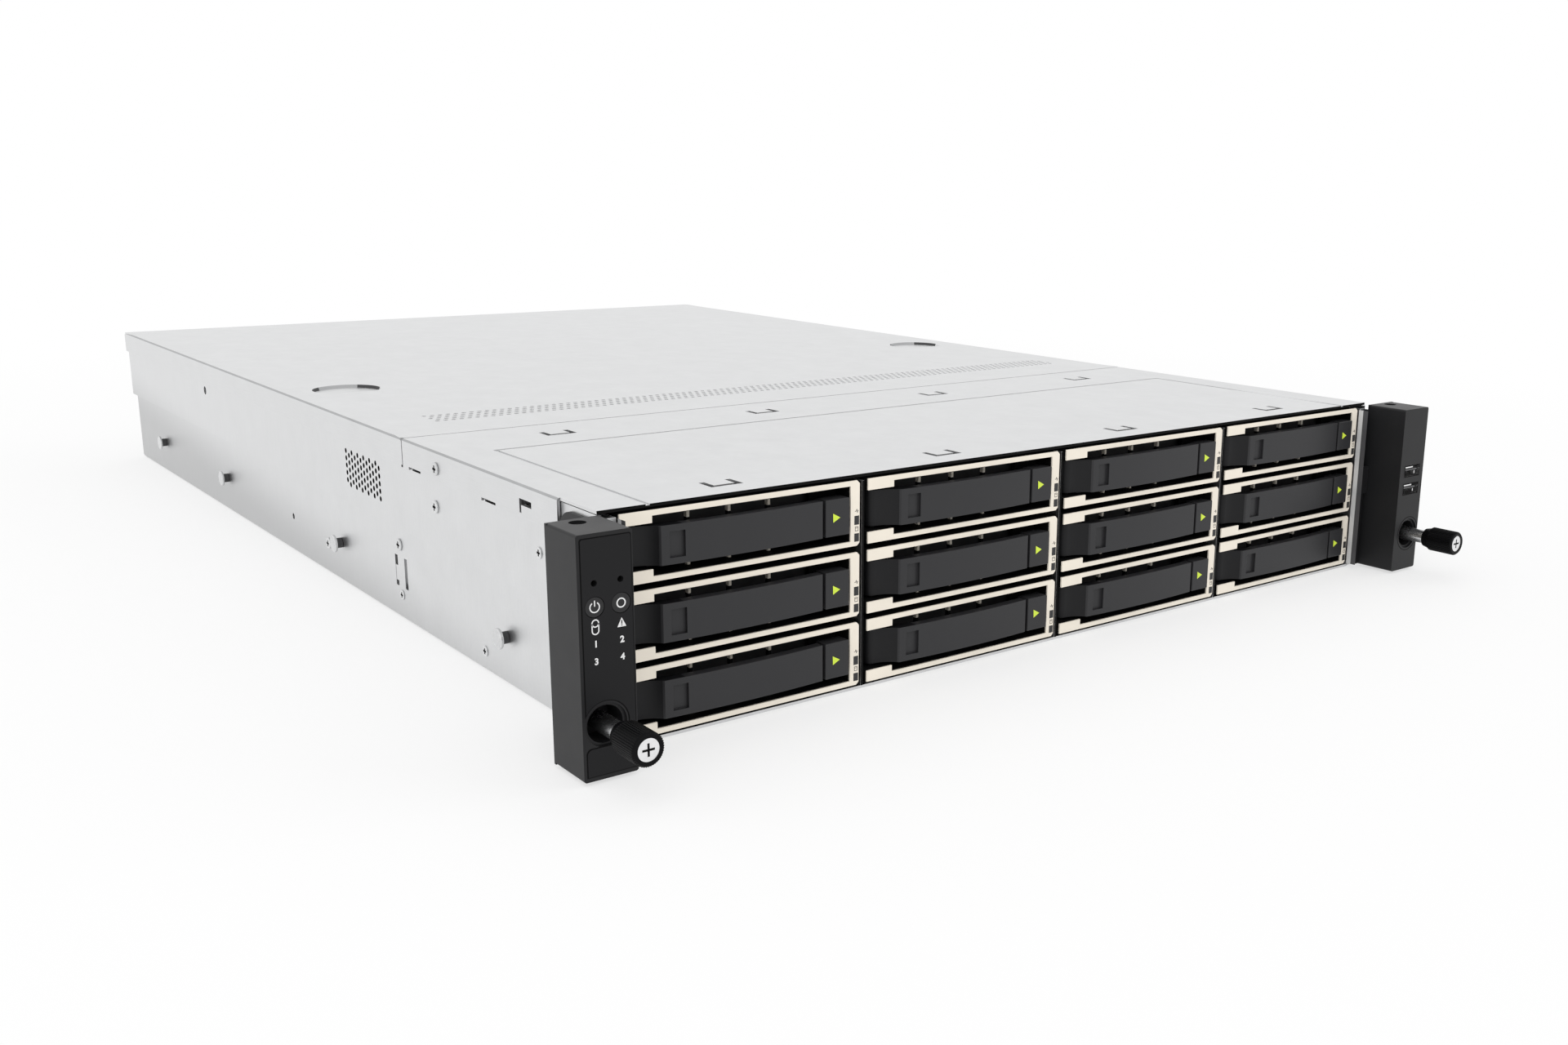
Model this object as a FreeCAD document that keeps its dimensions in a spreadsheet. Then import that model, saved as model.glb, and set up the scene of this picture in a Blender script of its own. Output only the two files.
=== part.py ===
import FreeCAD, Part
import math
import os
import re
import Sketcher

# A 2U rack server: a joggled sheet-steel tray with two covers, two moulded rack ears with captive
# thumbscrews, twelve drive carriers with swing levers and press latches, and a rear with two
# plug-in power supplies. Millimetres; the front faces -Y, X runs to the right as seen from the
# front, and Z is up from the underside. In each piece's own frame y = 0 is the plane of the
# drive carriers' fronts; FACE_Y puts that plane where the whole object stands centred in Y.

SIZES = {
    # sheet-metal case
    "ears_wide": 482.6, "ear_wide": 20.4, "sheet_thick": 1.2, "chassis_tall": 87.1,
    "chassis_rear": 685.0, "base_front": 1.0, "bend_radius": 2.4, "joggle_in": 2.6,
    "joggle_low": 43.2, "joggle_rise": 1.6, "cover_gap": 0.3, "cover_front": 1.4,
    "cover_seam": 175.0, "seam_gap": 0.7, "flange_deep": 12.6, "overcut": 1.0,
    # openings in the side walls
    "vent_back": 207.5, "vent_long": 46.2, "vent_drop": 21.8, "vent_tall": 19.2,
    "catch_back": 189.4, "catch_wide": 3.2, "catch_step": 11.0, "catch_low": 15.6, "catch_tall": 14.3,
    "slit_1_back": 80.8, "slit_2_back": 155.5, "slit_long": 13.0, "slit_rise": 1.3, "slit_drop": 0.5,
    "hook_back": 49.3, "hook_long": 10.1, "hook_down": 7.9, "hook_tall": 2.4, "hook_leg": 1.5,
    "hook_leg_drop": 3.0, "hole_1_back": 350.0, "hole_1_up": 19.8, "hole_1_radius": 1.6,
    "hole_2_back": 494.0, "hole_2_drop": 4.8, "hole_2_radius": 2.4,
    # rail studs and screws on each side
    "stud_up": 20.5, "stud_shoulder": 2.5, "stud_reach": 3.2, "stud_head": 4.3, "stud_head_thick": 1.2,
    "stud_1_back": 85.4, "stud_2_back": 275.7, "stud_3_back": 470.9, "stud_4_back": 615.4,
    "screw_head": 2.8, "screw_thick": 0.9, "screw_1_back": 144.3, "screw_1_drop": 11.9,
    "screw_2_back": 196.7, "screw_2_up": 35.4, "screw_3_back": 294.5, "screw_3_up": 16.4,
    "screw_4_back": 138.2, "screw_4_down": 7.3,
    # covers
    "thumb_radius": 16.7, "thumb_in": 29.8, "thumb_back": 333.8, "thumb_sink": 2.2,
    "thumb_slope": 2.0, "tab_wide": 9.0, "tab_long": 7.0, "tab_slit": 2.4, "tab_front": 15.0,
    "tab_rear": 149.0, "stamp_in": 18.9, "stamp_back": 126.0, "stamp_line": 1.6, "stamp_sink": 0.5,
    # drive bays
    "bay_side": 5.7, "bay_apart": 2.57, "bay_top": 2.06, "bay_low": 2.35, "cage_front": 0.6, "cage_rear": 165.0,
    "cage_top_gap": 1.1, "ledge_thick": 1.0, "ledge_under": 0.6, "ledge_gap": 0.3,
    "ledge_front": 14.0,
    # drive carriers
    "carrier_gap": 4.1, "carrier_deep": 12.0, "rim": 2.0, "block_wide": 12.8,
    "block_tall": 4.6, "post_wide": 4.4, "corner_cut": 1.2, "strut_wide": 1.2, "strut_deep": 2.0,
    "strut_front": 6.2, "strut_first": 30.8, "strut_step": 17.4, "rail_thick": 0.8, "rail_tall": 20.0,
    "rail_long": 150.0, "drive_gap": 0.15, "drive_spare": 0.45, "drive_long": 146.9,
    "drive_front": 12.6,
    # ejector lever
    "lever_spare": 1.125, "lever_proud": 1.7, "lever_thick": 4.0, "lever_short": 1.4, "lever_step": 15.2,
    "knuckle_x": 6.2, "knuckle_y": 6.2, "knuckle_radius": 3.1, "hinge_pin": 1.2, "run_gap": 0.05,
    "lever_hollow": 13.0, "lever_root": 20.0, "finger_left": 18.4, "finger_wide": 6.2,
    "finger_tall": 9.6, "finger_sink": 1.4,
    # latch button
    "latch_in": 17.4, "latch_wide": 11.2, "latch_thick": 6.6, "latch_post": 4.0, "latch_wall": 9.4,
    "latch_wall_thick": 1.6, "latch_travel": 2.0, "latch_spare": 0.3, "latch_skin": 1.4,
    # rack ears
    "ear_front": 23.1, "ear_back": 1.0, "ear_low": 1.4, "ear_under": 0.9, "ear_round": 1.0,
    "plate_back": 28.0, "plate_down": 3.5, "plate_round": 9.0, "plate_chamfer": 5.0,
    "tab_thick": 2.0, "tab_reach": 6.9, "left_tab_low": 21.3, "left_tab_tall": 35.0,
    "right_tab_low": 40.1, "right_tab_tall": 14.2, "top_screw": 3.0, "top_screw_sink": 1.2,
    "top_screw_in": 9.3, "top_screw_back": 6.5,
    # captive thumbscrews
    "screw_in": 8.75, "screw_up": 20.4, "lip_radius": 7.75, "lip_deep": 1.0, "cup_radius": 6.65,
    "cup_deep": 12.0, "knob_radius": 6.0, "knob_long": 17.4, "knob_taper": 3.0, "knob_neck": 4.6,
    "shank_shown": 11.0, "sleeve_radius": 3.4, "sleeve_in": 16.1, "shank_radius": 2.8,
    "thread_radius": 2.45, "thread_gap": 0.5, "thread_out": 4.0, "face_disc": 4.0, "face_sink": 0.8,
    # buttons and sockets in the ears
    "button_radius": 3.5, "button_gap": 0.1, "button_proud": 0.2, "button_thick": 2.6,
    "button_travel": 1.2, "button_spare": 0.3, "button_up": 61.5, "power_in": 5.9, "id_in": 15.5,
    "pinhole_radius": 1.1, "pinhole_deep": 3.0, "pinhole_up": 69.6, "usb_in": 9.9, "usb_wide": 13.4,
    "usb_tall": 6.1, "usb_wall": 0.45, "usb_deep": 13.0, "usb_up": 53.8, "usb_drop": 9.4,
    "usb_proud": 0.2,
    # backplane and fans
    "board_thick": 1.6, "board_low": 4.0, "board_down": 7.1, "plug_wide": 42.0, "plug_tall": 6.0,
    "plug_gap": 0.3, "fan_front": 262.0, "fan_down": 7.1, "fan_deep": 38.0, "fan_apart": 8.45,
    "fan_rim": 2.5, "fan_hub": 17.0, "blade_gap": 3.5, "fan_arm": 4.0, "fan_arm_thick": 3.0,
    "fan_axle": 2.0, "blade_thick": 1.6, "blade_pitch": 35.0, "blade_chord": 26.0, "hub_long": 28.0,
    # main board
    "main_side": 15.9, "main_gap": 30.0, "main_long": 150.0, "main_up": 6.0, "pillar_side": 6.0,
    "pillar_inset": 9.0, "cooler_wide": 78.0, "cooler_long": 108.0, "cooler_tall": 60.0,
    "cooler_in": 7.5, "cooler_inset": 20.0, "fin_thick": 1.2, "cooler_foot": 6.0, "memory_tall": 31.0,
    "memory_long": 133.0, "memory_thick": 4.0, "memory_pitch": 9.0,
    # power supplies and rear wall
    "supply_wide": 86.3, "supply_tall": 39.0, "supply_long": 196.0, "supply_gap": 0.4,
    "supply_in": 5.9, "supply_low": 1.6, "supply_step": 88.0, "inlet_wide": 24.6,
    "inlet_tall": 17.0, "inlet_deep": 15.0, "inlet_left": 6.0, "inlet_up": 6.0, "handle_reach": 24.0,
    "handle_wide": 6.0, "handle_tall": 32.0, "handle_thick": 4.0, "handle_left": 46.0,
    "slot_wide": 110.0, "slot_apart": 4.0, "slot_top": 6.5, "slot_thick": 0.8,
    "slot_pitch": 122.0, "port_wide": 15.0, "port_tall": 12.0, "port_low": 14.0, "port_step": 22.0,
    "port_left": 60.0,
}

# Lengths that follow from the ones above, each with a cell of its own.
DERIVED = {
    "chassis_wide": "ears_wide - 2 * ear_wide", "bay_pitch": "(chassis_wide - 2 * bay_side) / 4",
    "carrier_wide": "bay_pitch - carrier_gap", "latch_left": "carrier_wide - latch_in",
    "lever_end": "latch_left - lever_short", "thumb_out": "chassis_wide / 2 - thumb_in",
    "stamp_out": "chassis_wide / 2 - stamp_in", "screw_out": "ears_wide / 2 - screw_in",
    "top_screw_out": "ears_wide / 2 - top_screw_in", "power_out": "ears_wide / 2 - power_in",
    "id_out": "ears_wide / 2 - id_in", "usb_out": "ears_wide / 2 - usb_in",
    "fan_pitch": "chassis_wide / 4 - fan_apart", "main_wide": "chassis_wide - 2 * main_side",
    "main_front": "fan_front + fan_deep + main_gap", "main_rear": "main_front + main_long",
    "cooler_out": "main_wide / 4 - cooler_in", "supply_right": "chassis_wide / 2 - supply_in",
    "foot_up": "chassis_tall - flange_deep", "hook_low": "chassis_tall - hook_down",
    "vent_low": "foot_up - vent_drop", "hole_2_up": "foot_up - hole_2_drop",
    "screw_1_up": "foot_up - screw_1_drop", "screw_4_up": "chassis_tall - screw_4_down",
    "carrier_tall": "(chassis_tall - bay_low - bay_top - 2 * bay_apart) / 3",
    "bay_rise": "carrier_tall + bay_apart", "drive_tall": "carrier_tall - drive_spare",
    "lever_tall": "carrier_tall - 2 * block_tall - 2 * lever_spare",
    "ear_tall": "chassis_tall - ear_low - ear_under", "plate_top": "chassis_tall - plate_down",
    "board_top": "chassis_tall - board_down", "fan_side": "chassis_tall - fan_down",
    "fan_bore": "fan_side / 2 - fan_rim", "blade_reach": "fan_bore - blade_gap",
    "slot_low": "supply_low + supply_tall + slot_apart",
    "slot_tall": "(chassis_tall - slot_low - slot_top - slot_apart) / 2",
    "slot_rise": "slot_tall + slot_apart",
}

doc = FreeCAD.newDocument("rack_server")
sheet = doc.addObject("Spreadsheet::Sheet", "Sizes")
for row, (word, entry) in enumerate((SIZES | DERIVED).items(), start=1):
    sheet.set(f"A{row}", word)
    sheet.set(f"B{row}", f"={entry}" if word in DERIVED else str(entry))
    sheet.setAlias(f"B{row}", word)
doc.recompute()

nodes = []

# ---------------------------------------------------------------- formulas shared by several pieces

KNOB_TIP = "(ear_front + shank_shown + knob_long)"
REAR_TIP = "(chassis_rear + handle_reach)"
FACE_Y = f"({KNOB_TIP} - {REAR_TIP}) / 2"
UPPER_HALF = "(chassis_wide / 2)"
LOWER_HALF = "(chassis_wide / 2 - joggle_in)"
COVER_HALF = "(chassis_wide / 2 + cover_gap + sheet_thick)"
COVER_UNDER = "(chassis_tall - sheet_thick)"
WALL_TOP = "(chassis_tall - sheet_thick - cover_gap)"
LEVER_LOW = "(carrier_tall - lever_tall) / 2"


def words(formula):
    """The formula with each size's name pointing at its cell."""
    found = re.compile(r"[a-z][a-z_0-9]*")
    return found.sub(lambda hit: f"Sizes.{hit[0]}" if hit[0] in SIZES | DERIVED else hit[0], str(formula))


def bind(thing, prop, formula):
    """Tie one property of an object to a formula of the sheet's sizes."""
    thing.setExpression(prop, words(formula))


def value(formula):
    """The number that a formula of the sheet's sizes comes to."""
    sheet.set("D1", f"={formula}")
    sheet.recompute()
    return float(sheet.get("D1"))


def place(thing, x, y, z):
    """Tie an object's place to three formulas."""
    for axis, formula in zip("xyz", (x, y, z)):
        bind(thing, f"Placement.Base.{axis}", formula)
    return thing


def node(thing, label, x="0", y="0", z="0"):
    """Name a finished piece, stand it in the object's frame and keep it for writing."""
    thing.Label = label
    place(thing, x, f"{FACE_Y} + {y}", z)
    nodes.append(thing)
    return thing


def box(name, x, y, z, wide, deep, tall):
    """A block from its lowest corner and its three sizes."""
    made = doc.addObject("Part::Box", name)
    for prop, formula in (("Length", wide), ("Width", deep), ("Height", tall)):
        bind(made, prop, formula)
    return place(made, x, y, z)


AIMS = {"x": FreeCAD.Rotation(FreeCAD.Vector(0, 1, 0), 90), "y": FreeCAD.Rotation(FreeCAD.Vector(1, 0, 0), -90),
        "z": FreeCAD.Rotation()}


def rod(name, aim, x, y, z, radius, length):
    """A round bar that runs from its start point along the axis called aim."""
    made = doc.addObject("Part::Cylinder", name)
    made.Placement.Rotation = AIMS[aim]
    bind(made, "Radius", radius)
    bind(made, "Height", length)
    return place(made, x, y, z)


def cone(name, aim, x, y, z, start_radius, end_radius, length):
    """A tapered round bar that runs from its start point along the axis called aim."""
    made = doc.addObject("Part::Cone", name)
    made.Placement.Rotation = AIMS[aim]
    bind(made, "Radius1", start_radius)
    bind(made, "Radius2", end_radius)
    bind(made, "Height", length)
    return place(made, x, y, z)


def fuse(name, pieces):
    """Several shapes as one solid."""
    made = doc.addObject("Part::MultiFuse", name)
    made.Shapes = pieces
    made.Refine = True
    return made


def group(name, pieces):
    """Several separate solids as one piece."""
    made = doc.addObject("Part::Compound", name)
    made.Links = pieces
    return made


def cut(name, base, tools):
    """A shape with others taken out of it."""
    made = doc.addObject("Part::Cut", name)
    made.Base = base
    made.Tool = tools[0] if len(tools) == 1 else group(f"{name}Tools", tools)
    made.Refine = True
    return made


def copy(name, source, x="0", y="0", z="0"):
    """A linked copy of a shape, moved."""
    made = doc.addObject("App::Link", name)
    made.LinkedObject = source
    return place(made, x, y, z)


def mirror(name, source):
    """The same shape on the other side of the middle."""
    made = doc.addObject("Part::Mirroring", name)
    made.Source = source
    made.Normal = FreeCAD.Vector(1, 0, 0)
    return made


# ---------------------------------------------------------------- sketches with tied corners

def blank_sketch(body, name, plane_role, lift):
    """An empty sketch on one of a body's own planes, lifted along that plane's normal."""
    sketch = body.newObject("Sketcher::SketchObject", name)
    plane = [face for face in body.Origin.OriginFeatures if face.Role == plane_role][0]
    sketch.AttachmentSupport = (plane, [""])
    sketch.MapMode = "FlatFace"
    bind(sketch, "AttachmentOffset.Base.z", lift)
    return sketch


def outline(body, name, plane_role, corners, lift="0"):
    """A closed sketch whose corners are pairs of formulas. A third and fourth entry make the side
    that ends at that corner an arc of that radius, bulging to its left (1) or its right (-1).
    The XZ plane's normal points forwards, so there a negative lift moves the sketch back."""
    sketch = blank_sketch(body, name, plane_role, lift)
    spots = [FreeCAD.Vector(value(corner[0]), value(corner[1]), 0) for corner in corners]
    for index, corner in enumerate(corners):
        start, end = spots[index - 1], spots[index]
        if len(corner) > 2:
            radius = value(corner[2])
            chord = end - start
            half = chord.Length / 2
            aside = FreeCAD.Vector(-chord.y, chord.x, 0).normalize() * corner[3]
            middle = (start + end) * 0.5 + aside * (radius - math.sqrt(max(radius ** 2 - half ** 2, 0)))
            first, last = (start, end) if corner[3] < 0 else (end, start)
            sketch.addGeometry(Part.Arc(first, middle, last), False)
        else:
            sketch.addGeometry(Part.LineSegment(start, end), False)
    tails = []
    for index, spot in enumerate(spots):
        side = sketch.Geometry[index]
        ends_last = (side.EndPoint - spot).Length < (side.StartPoint - spot).Length
        tails.append(2 if ends_last else 1)
    for index, corner in enumerate(corners):
        ahead = (index + 1) % len(corners)
        sketch.addConstraint(Sketcher.Constraint("Coincident", index, tails[index], ahead, 3 - tails[ahead]))
        for kind, number, formula in (("DistanceX", spots[index].x, corner[0]),
                                      ("DistanceY", spots[index].y, corner[1])):
            rule = sketch.addConstraint(Sketcher.Constraint(kind, -1, 1, index, tails[index], number))
            bind(sketch, f"Constraints[{rule}]", formula)
        if len(corner) > 2:
            rule = sketch.addConstraint(Sketcher.Constraint("Radius", index, value(corner[2])))
            bind(sketch, f"Constraints[{rule}]", corner[2])
    return sketch


def pad(body, name, sketch, length, turned=True):
    """Material raised from a sketch. From the XZ plane, turned means rearwards."""
    made = body.newObject("PartDesign::Pad", name)
    made.Profile = sketch
    made.Reversed = turned
    bind(made, "Length", length)
    return made


def solid(name, plane_role, corners, length, lift="0", turned=True):
    """A body that is one outline raised to a length."""
    body = doc.addObject("PartDesign::Body", name)
    pad(body, f"{name}Pad", outline(body, f"{name}Outline", plane_role, corners, lift), length, turned)
    return body


# ---------------------------------------------------------------- case

def joggled_wall(side, thick_in, thick_out):
    """The corner points of one side wall's face, bottom to top: low, in, out and high."""
    shift = f"{thick_in} + {thick_out}"
    return [(f"{side} * ({LOWER_HALF} + {shift})", "joggle_low"),
            (f"{side} * ({UPPER_HALF} + {shift})", "joggle_low + joggle_rise"),
            (f"{side} * ({UPPER_HALF} + {shift})", WALL_TOP)]


def chassis():
    """The tray: base, two joggled side walls with their bends, and the rear wall."""
    tray = doc.addObject("PartDesign::Body", "Tray")
    inner = f"({LOWER_HALF} - sheet_thick)"
    bend_start = f"({LOWER_HALF} - bend_radius)"
    inner_bend = "bend_radius - sheet_thick"
    right_outside = joggled_wall(1, "0", "0")
    right_inside = joggled_wall(1, "-sheet_thick", "0")
    left_inside = joggled_wall(-1, "-sheet_thick", "0")
    left_outside = joggled_wall(-1, "0", "0")
    section = [(bend_start, "0"), (LOWER_HALF, "bend_radius", "bend_radius", -1)]
    section += right_outside + right_inside[::-1]
    section += [(inner, "bend_radius"), (bend_start, "sheet_thick", inner_bend, 1)]
    section += [(f"-{bend_start}", "sheet_thick"), (f"-{inner}", "bend_radius", inner_bend, 1)]
    section += left_inside + left_outside[::-1]
    section += [(f"-{LOWER_HALF}", "bend_radius"), (f"-{bend_start}", "0", "bend_radius", -1)]
    sketch = outline(tray, "TraySection", "XZ_Plane", section, "-base_front")
    pad(tray, "TrayPad", sketch, "chassis_rear - base_front")
    rear = [(f"-{inner}", "sheet_thick"), (inner, "sheet_thick")] + right_inside + left_inside[::-1]
    sketch = outline(tray, "RearOutline", "XZ_Plane", rear, "sheet_thick - chassis_rear")
    pad(tray, "RearPad", sketch, "sheet_thick")
    open_tray = cut("OpenTray", tray, wall_openings() + rear_openings())
    return node(fuse("Chassis", [open_tray] + slot_covers()), "chassis")


def wall_openings():
    """The air and catch windows, slits, hook slots and round holes, each through both side walls."""
    across = f"-{UPPER_HALF} - overcut"
    width = "chassis_wide + 2 * overcut"
    made = [box("AirWindow", across, "vent_back", "vent_low", width, "vent_long", "vent_tall")]
    made += flange_openings("Wall")
    for step in range(2):
        made.append(box(f"Catch{step}", across, f"catch_back + {step} * catch_step", "catch_low",
                        width, "catch_wide", "catch_tall"))
    for index in (1, 2):
        made.append(rod(f"WallHole{index}", "x", across, f"hole_{index}_back", f"hole_{index}_up",
                        f"hole_{index}_radius", width))
    return made


def flange_openings(name):
    """Two slits at the foot of the front cover's flanges and the hook slot ahead of them."""
    across = f"-{COVER_HALF} - overcut"
    width = f"2 * ({COVER_HALF} + overcut)"
    made = [box(f"{name}Slit{index}", across, f"slit_{index}_back", "foot_up - slit_drop", width, "slit_long",
                "slit_rise + slit_drop") for index in (1, 2)]
    made.append(box(f"{name}Hook", across, "hook_back", "hook_low", width, "hook_long", "hook_tall"))
    made.append(box(f"{name}HookLeg", across, "hook_back + hook_long - hook_leg", "hook_low - hook_leg_drop",
                    width, "hook_leg", "hook_leg_drop + hook_tall"))
    return made


def rear_openings():
    """The holes in the rear wall for the two power supplies and the row of ports."""
    start = "chassis_rear - sheet_thick - overcut"
    deep = "sheet_thick + 2 * overcut"
    made = []
    for step in range(2):
        made.append(box(f"SupplyHole{step}", f"supply_right - supply_wide - supply_gap - {step} * supply_step",
                        start, "supply_low - supply_gap", "supply_wide + 2 * supply_gap", deep,
                        "supply_tall + 2 * supply_gap"))
    for step in range(5):
        made.append(box(f"PortHole{step}", f"{step} * port_step - port_left - 4 * port_step", start,
                        "port_low", "port_wide", deep, "port_tall"))
    return made


def slot_covers():
    """The blanked card slots: plates that stand out from the rear wall, two in each of three bays."""
    made = []
    for bay in (-1, 0, 1):
        for row in range(2):
            made.append(box(f"Slot{bay + 1}{row}", f"{bay} * slot_pitch - slot_wide / 2", "chassis_rear",
                            f"slot_low + {row} * slot_rise", "slot_wide", "slot_thick", "slot_tall"))
    return made


def cover_section():
    """The section of a cover: a top with a flange down each side."""
    foot = "foot_up"
    inner = f"({COVER_HALF} - sheet_thick)"
    return [(COVER_HALF, foot), (COVER_HALF, "chassis_tall"), (f"-{COVER_HALF}", "chassis_tall"),
            (f"-{COVER_HALF}", foot), (f"-{inner}", foot), (f"-{inner}", COVER_UNDER),
            (inner, COVER_UNDER), (inner, foot)]


def front_cover():
    """The fixed cover over the drive bays, with its lanced tabs and a stamped line."""
    cover = solid("FrontCover", "XZ_Plane", cover_section(), "cover_seam - cover_front", "-cover_front")
    high = "chassis_tall - sheet_thick - overcut"
    tall = "sheet_thick + 2 * overcut"
    outer = "-tab_wide / 2 - tab_slit"
    slits = fuse("TabSlits", [
        box("TabSlitLeft", outer, "0", high, "tab_slit", "tab_long", tall),
        box("TabSlitRight", "tab_wide / 2", "0", high, "tab_slit", "tab_long", tall),
        box("TabSlitFront", outer, "-tab_slit", high, "tab_wide + 2 * tab_slit", "tab_slit", tall)])
    tools = []
    for column in range(4):
        for name, back in (("Front", "tab_front"), ("Rear", "tab_rear")):
            tools.append(copy(f"Tab{name}{column}", slits, f"({column} - 1.5) * bay_pitch", back))
    line_high = "chassis_tall - stamp_sink"
    line_tall = "stamp_sink + overcut"
    tools.append(box("StampAcross", "-stamp_out", "stamp_back", line_high, "2 * stamp_out", "stamp_line",
                     line_tall))
    for name, start in (("Left", "-stamp_out"), ("Right", "stamp_out - stamp_line")):
        tools.append(box(f"Stamp{name}", start, "cover_front - overcut", line_high, "stamp_line",
                         "stamp_back - cover_front + overcut", line_tall))
    for name, start in (("Left", f"-{COVER_HALF} - overcut"), ("Right", UPPER_HALF)):
        tools.append(box(f"EarNotch{name}", start, "cover_front - overcut", "foot_up - overcut",
                         "cover_gap + sheet_thick + overcut", "plate_back + cover_gap - cover_front + overcut",
                         "flange_deep + 2 * overcut"))
    return node(cut("FrontCoverCut", cover, tools + flange_openings("Cover")), "front_cover")


def main_cover():
    """The sliding cover, with a pressed thumb recess near each side."""
    cover = solid("MainCover", "XZ_Plane", cover_section(), "chassis_rear - cover_seam - seam_gap",
                  "-cover_seam - seam_gap")
    floors = []
    dishes = []
    for name, side in (("Left", "-1"), ("Right", "1")):
        spot = (f"{side} * thumb_out", "thumb_back")
        dish = cone(f"Dish{name}", "z", *spot, "chassis_tall - thumb_sink - sheet_thick",
                    "thumb_radius - thumb_slope", "thumb_radius", "thumb_sink + sheet_thick")
        hollow = cone(f"Hollow{name}", "z", *spot, "chassis_tall - thumb_sink",
                      "thumb_radius - thumb_slope - sheet_thick", "thumb_radius - sheet_thick", "thumb_sink")
        dishes.append(dish)
        floors.append(cut(f"Thumb{name}", dish, [hollow]))
    return node(fuse("MainCoverWhole", [cut("MainCoverHoled", cover, dishes)] + floors), "main_cover")


def stud(name):
    """One shouldered rail stud on the right wall, its axis at y = 0."""
    wall = LOWER_HALF
    return fuse(name, [
        rod(f"{name}Shoulder", "x", wall, "0", "stud_up", "stud_shoulder", "stud_reach"),
        rod(f"{name}Head", "x", f"{wall} + stud_reach", "0", "stud_up", "stud_head", "stud_head_thick")])


def rail_studs():
    """Four studs on each side that hook into the rack's rails."""
    pattern = stud("Stud")
    right = group("RightStuds", [copy(f"Stud{index}", pattern, "0", f"stud_{index}_back")
                                 for index in range(1, 5)])
    return node(group("Studs", [right, mirror("LeftStuds", right)]), "rail_studs")


def chassis_screws():
    """The screws on the two side walls and in the front cover's flanges."""
    walls = (UPPER_HALF, LOWER_HALF, LOWER_HALF, COVER_HALF)
    right = [rod(f"Screw{index}", "x", wall, f"screw_{index}_back", f"screw_{index}_up", "screw_head",
                 "screw_thick") for index, wall in enumerate(walls, start=1)]
    right_group = group("RightScrews", right)
    return node(group("Screws", [right_group, mirror("LeftScrews", right_group)]), "chassis_screws")


# ---------------------------------------------------------------- drive bays

LEDGE_REACH = "((bay_pitch - carrier_wide) / 2 + ledge_under)"


def divider(name, right_reach):
    """One upright plate of the cage with a ledge under each row; right_reach is the ledges' own."""
    deep = "cage_rear - cage_front"
    pieces = [box(f"{name}Plate", "-sheet_thick / 2", "cage_front", "sheet_thick", "sheet_thick", deep,
                  f"{WALL_TOP} - sheet_thick - cage_top_gap")]
    for row in range(3):
        top = f"(bay_low + {row} * bay_rise - ledge_gap)"
        low = f"({top} - ledge_thick)" if row else "sheet_thick"
        pieces.append(box(f"{name}Ledge{row}", f"-{LEDGE_REACH}", "ledge_front", low,
                          f"{LEDGE_REACH} + {right_reach}", "cage_rear - ledge_front", f"{top} - {low}"))
    return fuse(name, pieces)


def drive_cage():
    """Five upright plates that part the four columns of bays; the outer two have a front flange."""
    inner = divider("InnerDivider", LEDGE_REACH)
    outer = divider("OuterDivider", "sheet_thick / 2")
    flange = box("BayFlange", "-sheet_thick / 2", "cage_front - sheet_thick", "sheet_thick",
                 f"{LOWER_HALF} - cover_gap - 2 * bay_pitch + sheet_thick / 2", "sheet_thick",
                 f"{WALL_TOP} - sheet_thick - cage_top_gap")
    end = fuse("OuterWall", [outer, flange])
    right = group("RightWall", [copy("RightWallPlaced", end, "2 * bay_pitch")])
    plates = [copy(f"Divider{index}", inner, f"{index - 1} * bay_pitch") for index in range(3)]
    return node(group("Cage", plates + [right, mirror("LeftWall", right)]), "drive_cage")


def carrier_frame():
    """The moulded bezel of a carrier: a C of thin rims with thick hinge blocks at its open end,
    struts behind the lever, the hinge pin, and the guide post of the latch button."""
    wide, tall = "carrier_wide", "carrier_tall"
    rim_in = f"{wide} - post_wide"
    section = [(f"{wide} - corner_cut", "0"), (wide, "corner_cut"), (wide, f"{tall} - corner_cut"),
               (f"{wide} - corner_cut", tall),
               ("0", tall), ("0", f"{tall} - block_tall"), ("block_wide", f"{tall} - block_tall"),
               ("block_wide", f"{tall} - rim"), (rim_in, f"{tall} - rim"), (rim_in, "rim"),
               ("block_wide", "rim"), ("block_wide", "block_tall"), ("0", "block_tall"), ("0", "0")]
    pieces = [solid("Bezel", "XZ_Plane", section, "carrier_deep")]
    for index in range(3):
        pieces.append(box(f"Strut{index}", f"strut_first + {index} * strut_step - strut_wide / 2",
                          "strut_front", "rim", "strut_wide", "strut_deep", f"{tall} - 2 * rim"))
    pieces.append(box("LatchWall", "latch_left", "latch_wall", "rim", f"{rim_in} - latch_left",
                      "latch_wall_thick", f"{tall} - 2 * rim"))
    post_tip = "(latch_skin - lever_proud + latch_travel + latch_spare)"
    pieces.append(box("LatchPost", "latch_left + (latch_wide - latch_post) / 2", post_tip,
                      f"({tall} - latch_post) / 2", "latch_post", f"latch_wall - {post_tip}", "latch_post"))
    pieces.append(rod("HingePin", "z", "knuckle_x", "knuckle_y", "block_tall", "hinge_pin",
                      f"{tall} - 2 * block_tall"))
    return fuse("CarrierFrame", pieces)


def carrier():
    """A carrier with its two side rails and the drive between them."""
    rails = [box(f"Rail{side}", start, "carrier_deep", "0", "rail_thick", "rail_long", "rail_tall")
             for side, start in (("Left", "0"), ("Right", "carrier_wide - rail_thick"))]
    aside = "(rail_thick + drive_gap)"
    drive = box("Drive", aside, "drive_front", "(carrier_tall - drive_tall) / 2",
                f"carrier_wide - 2 * {aside}", "drive_long", "drive_tall")
    return group("Carrier", [carrier_frame()] + rails + [drive])


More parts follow.
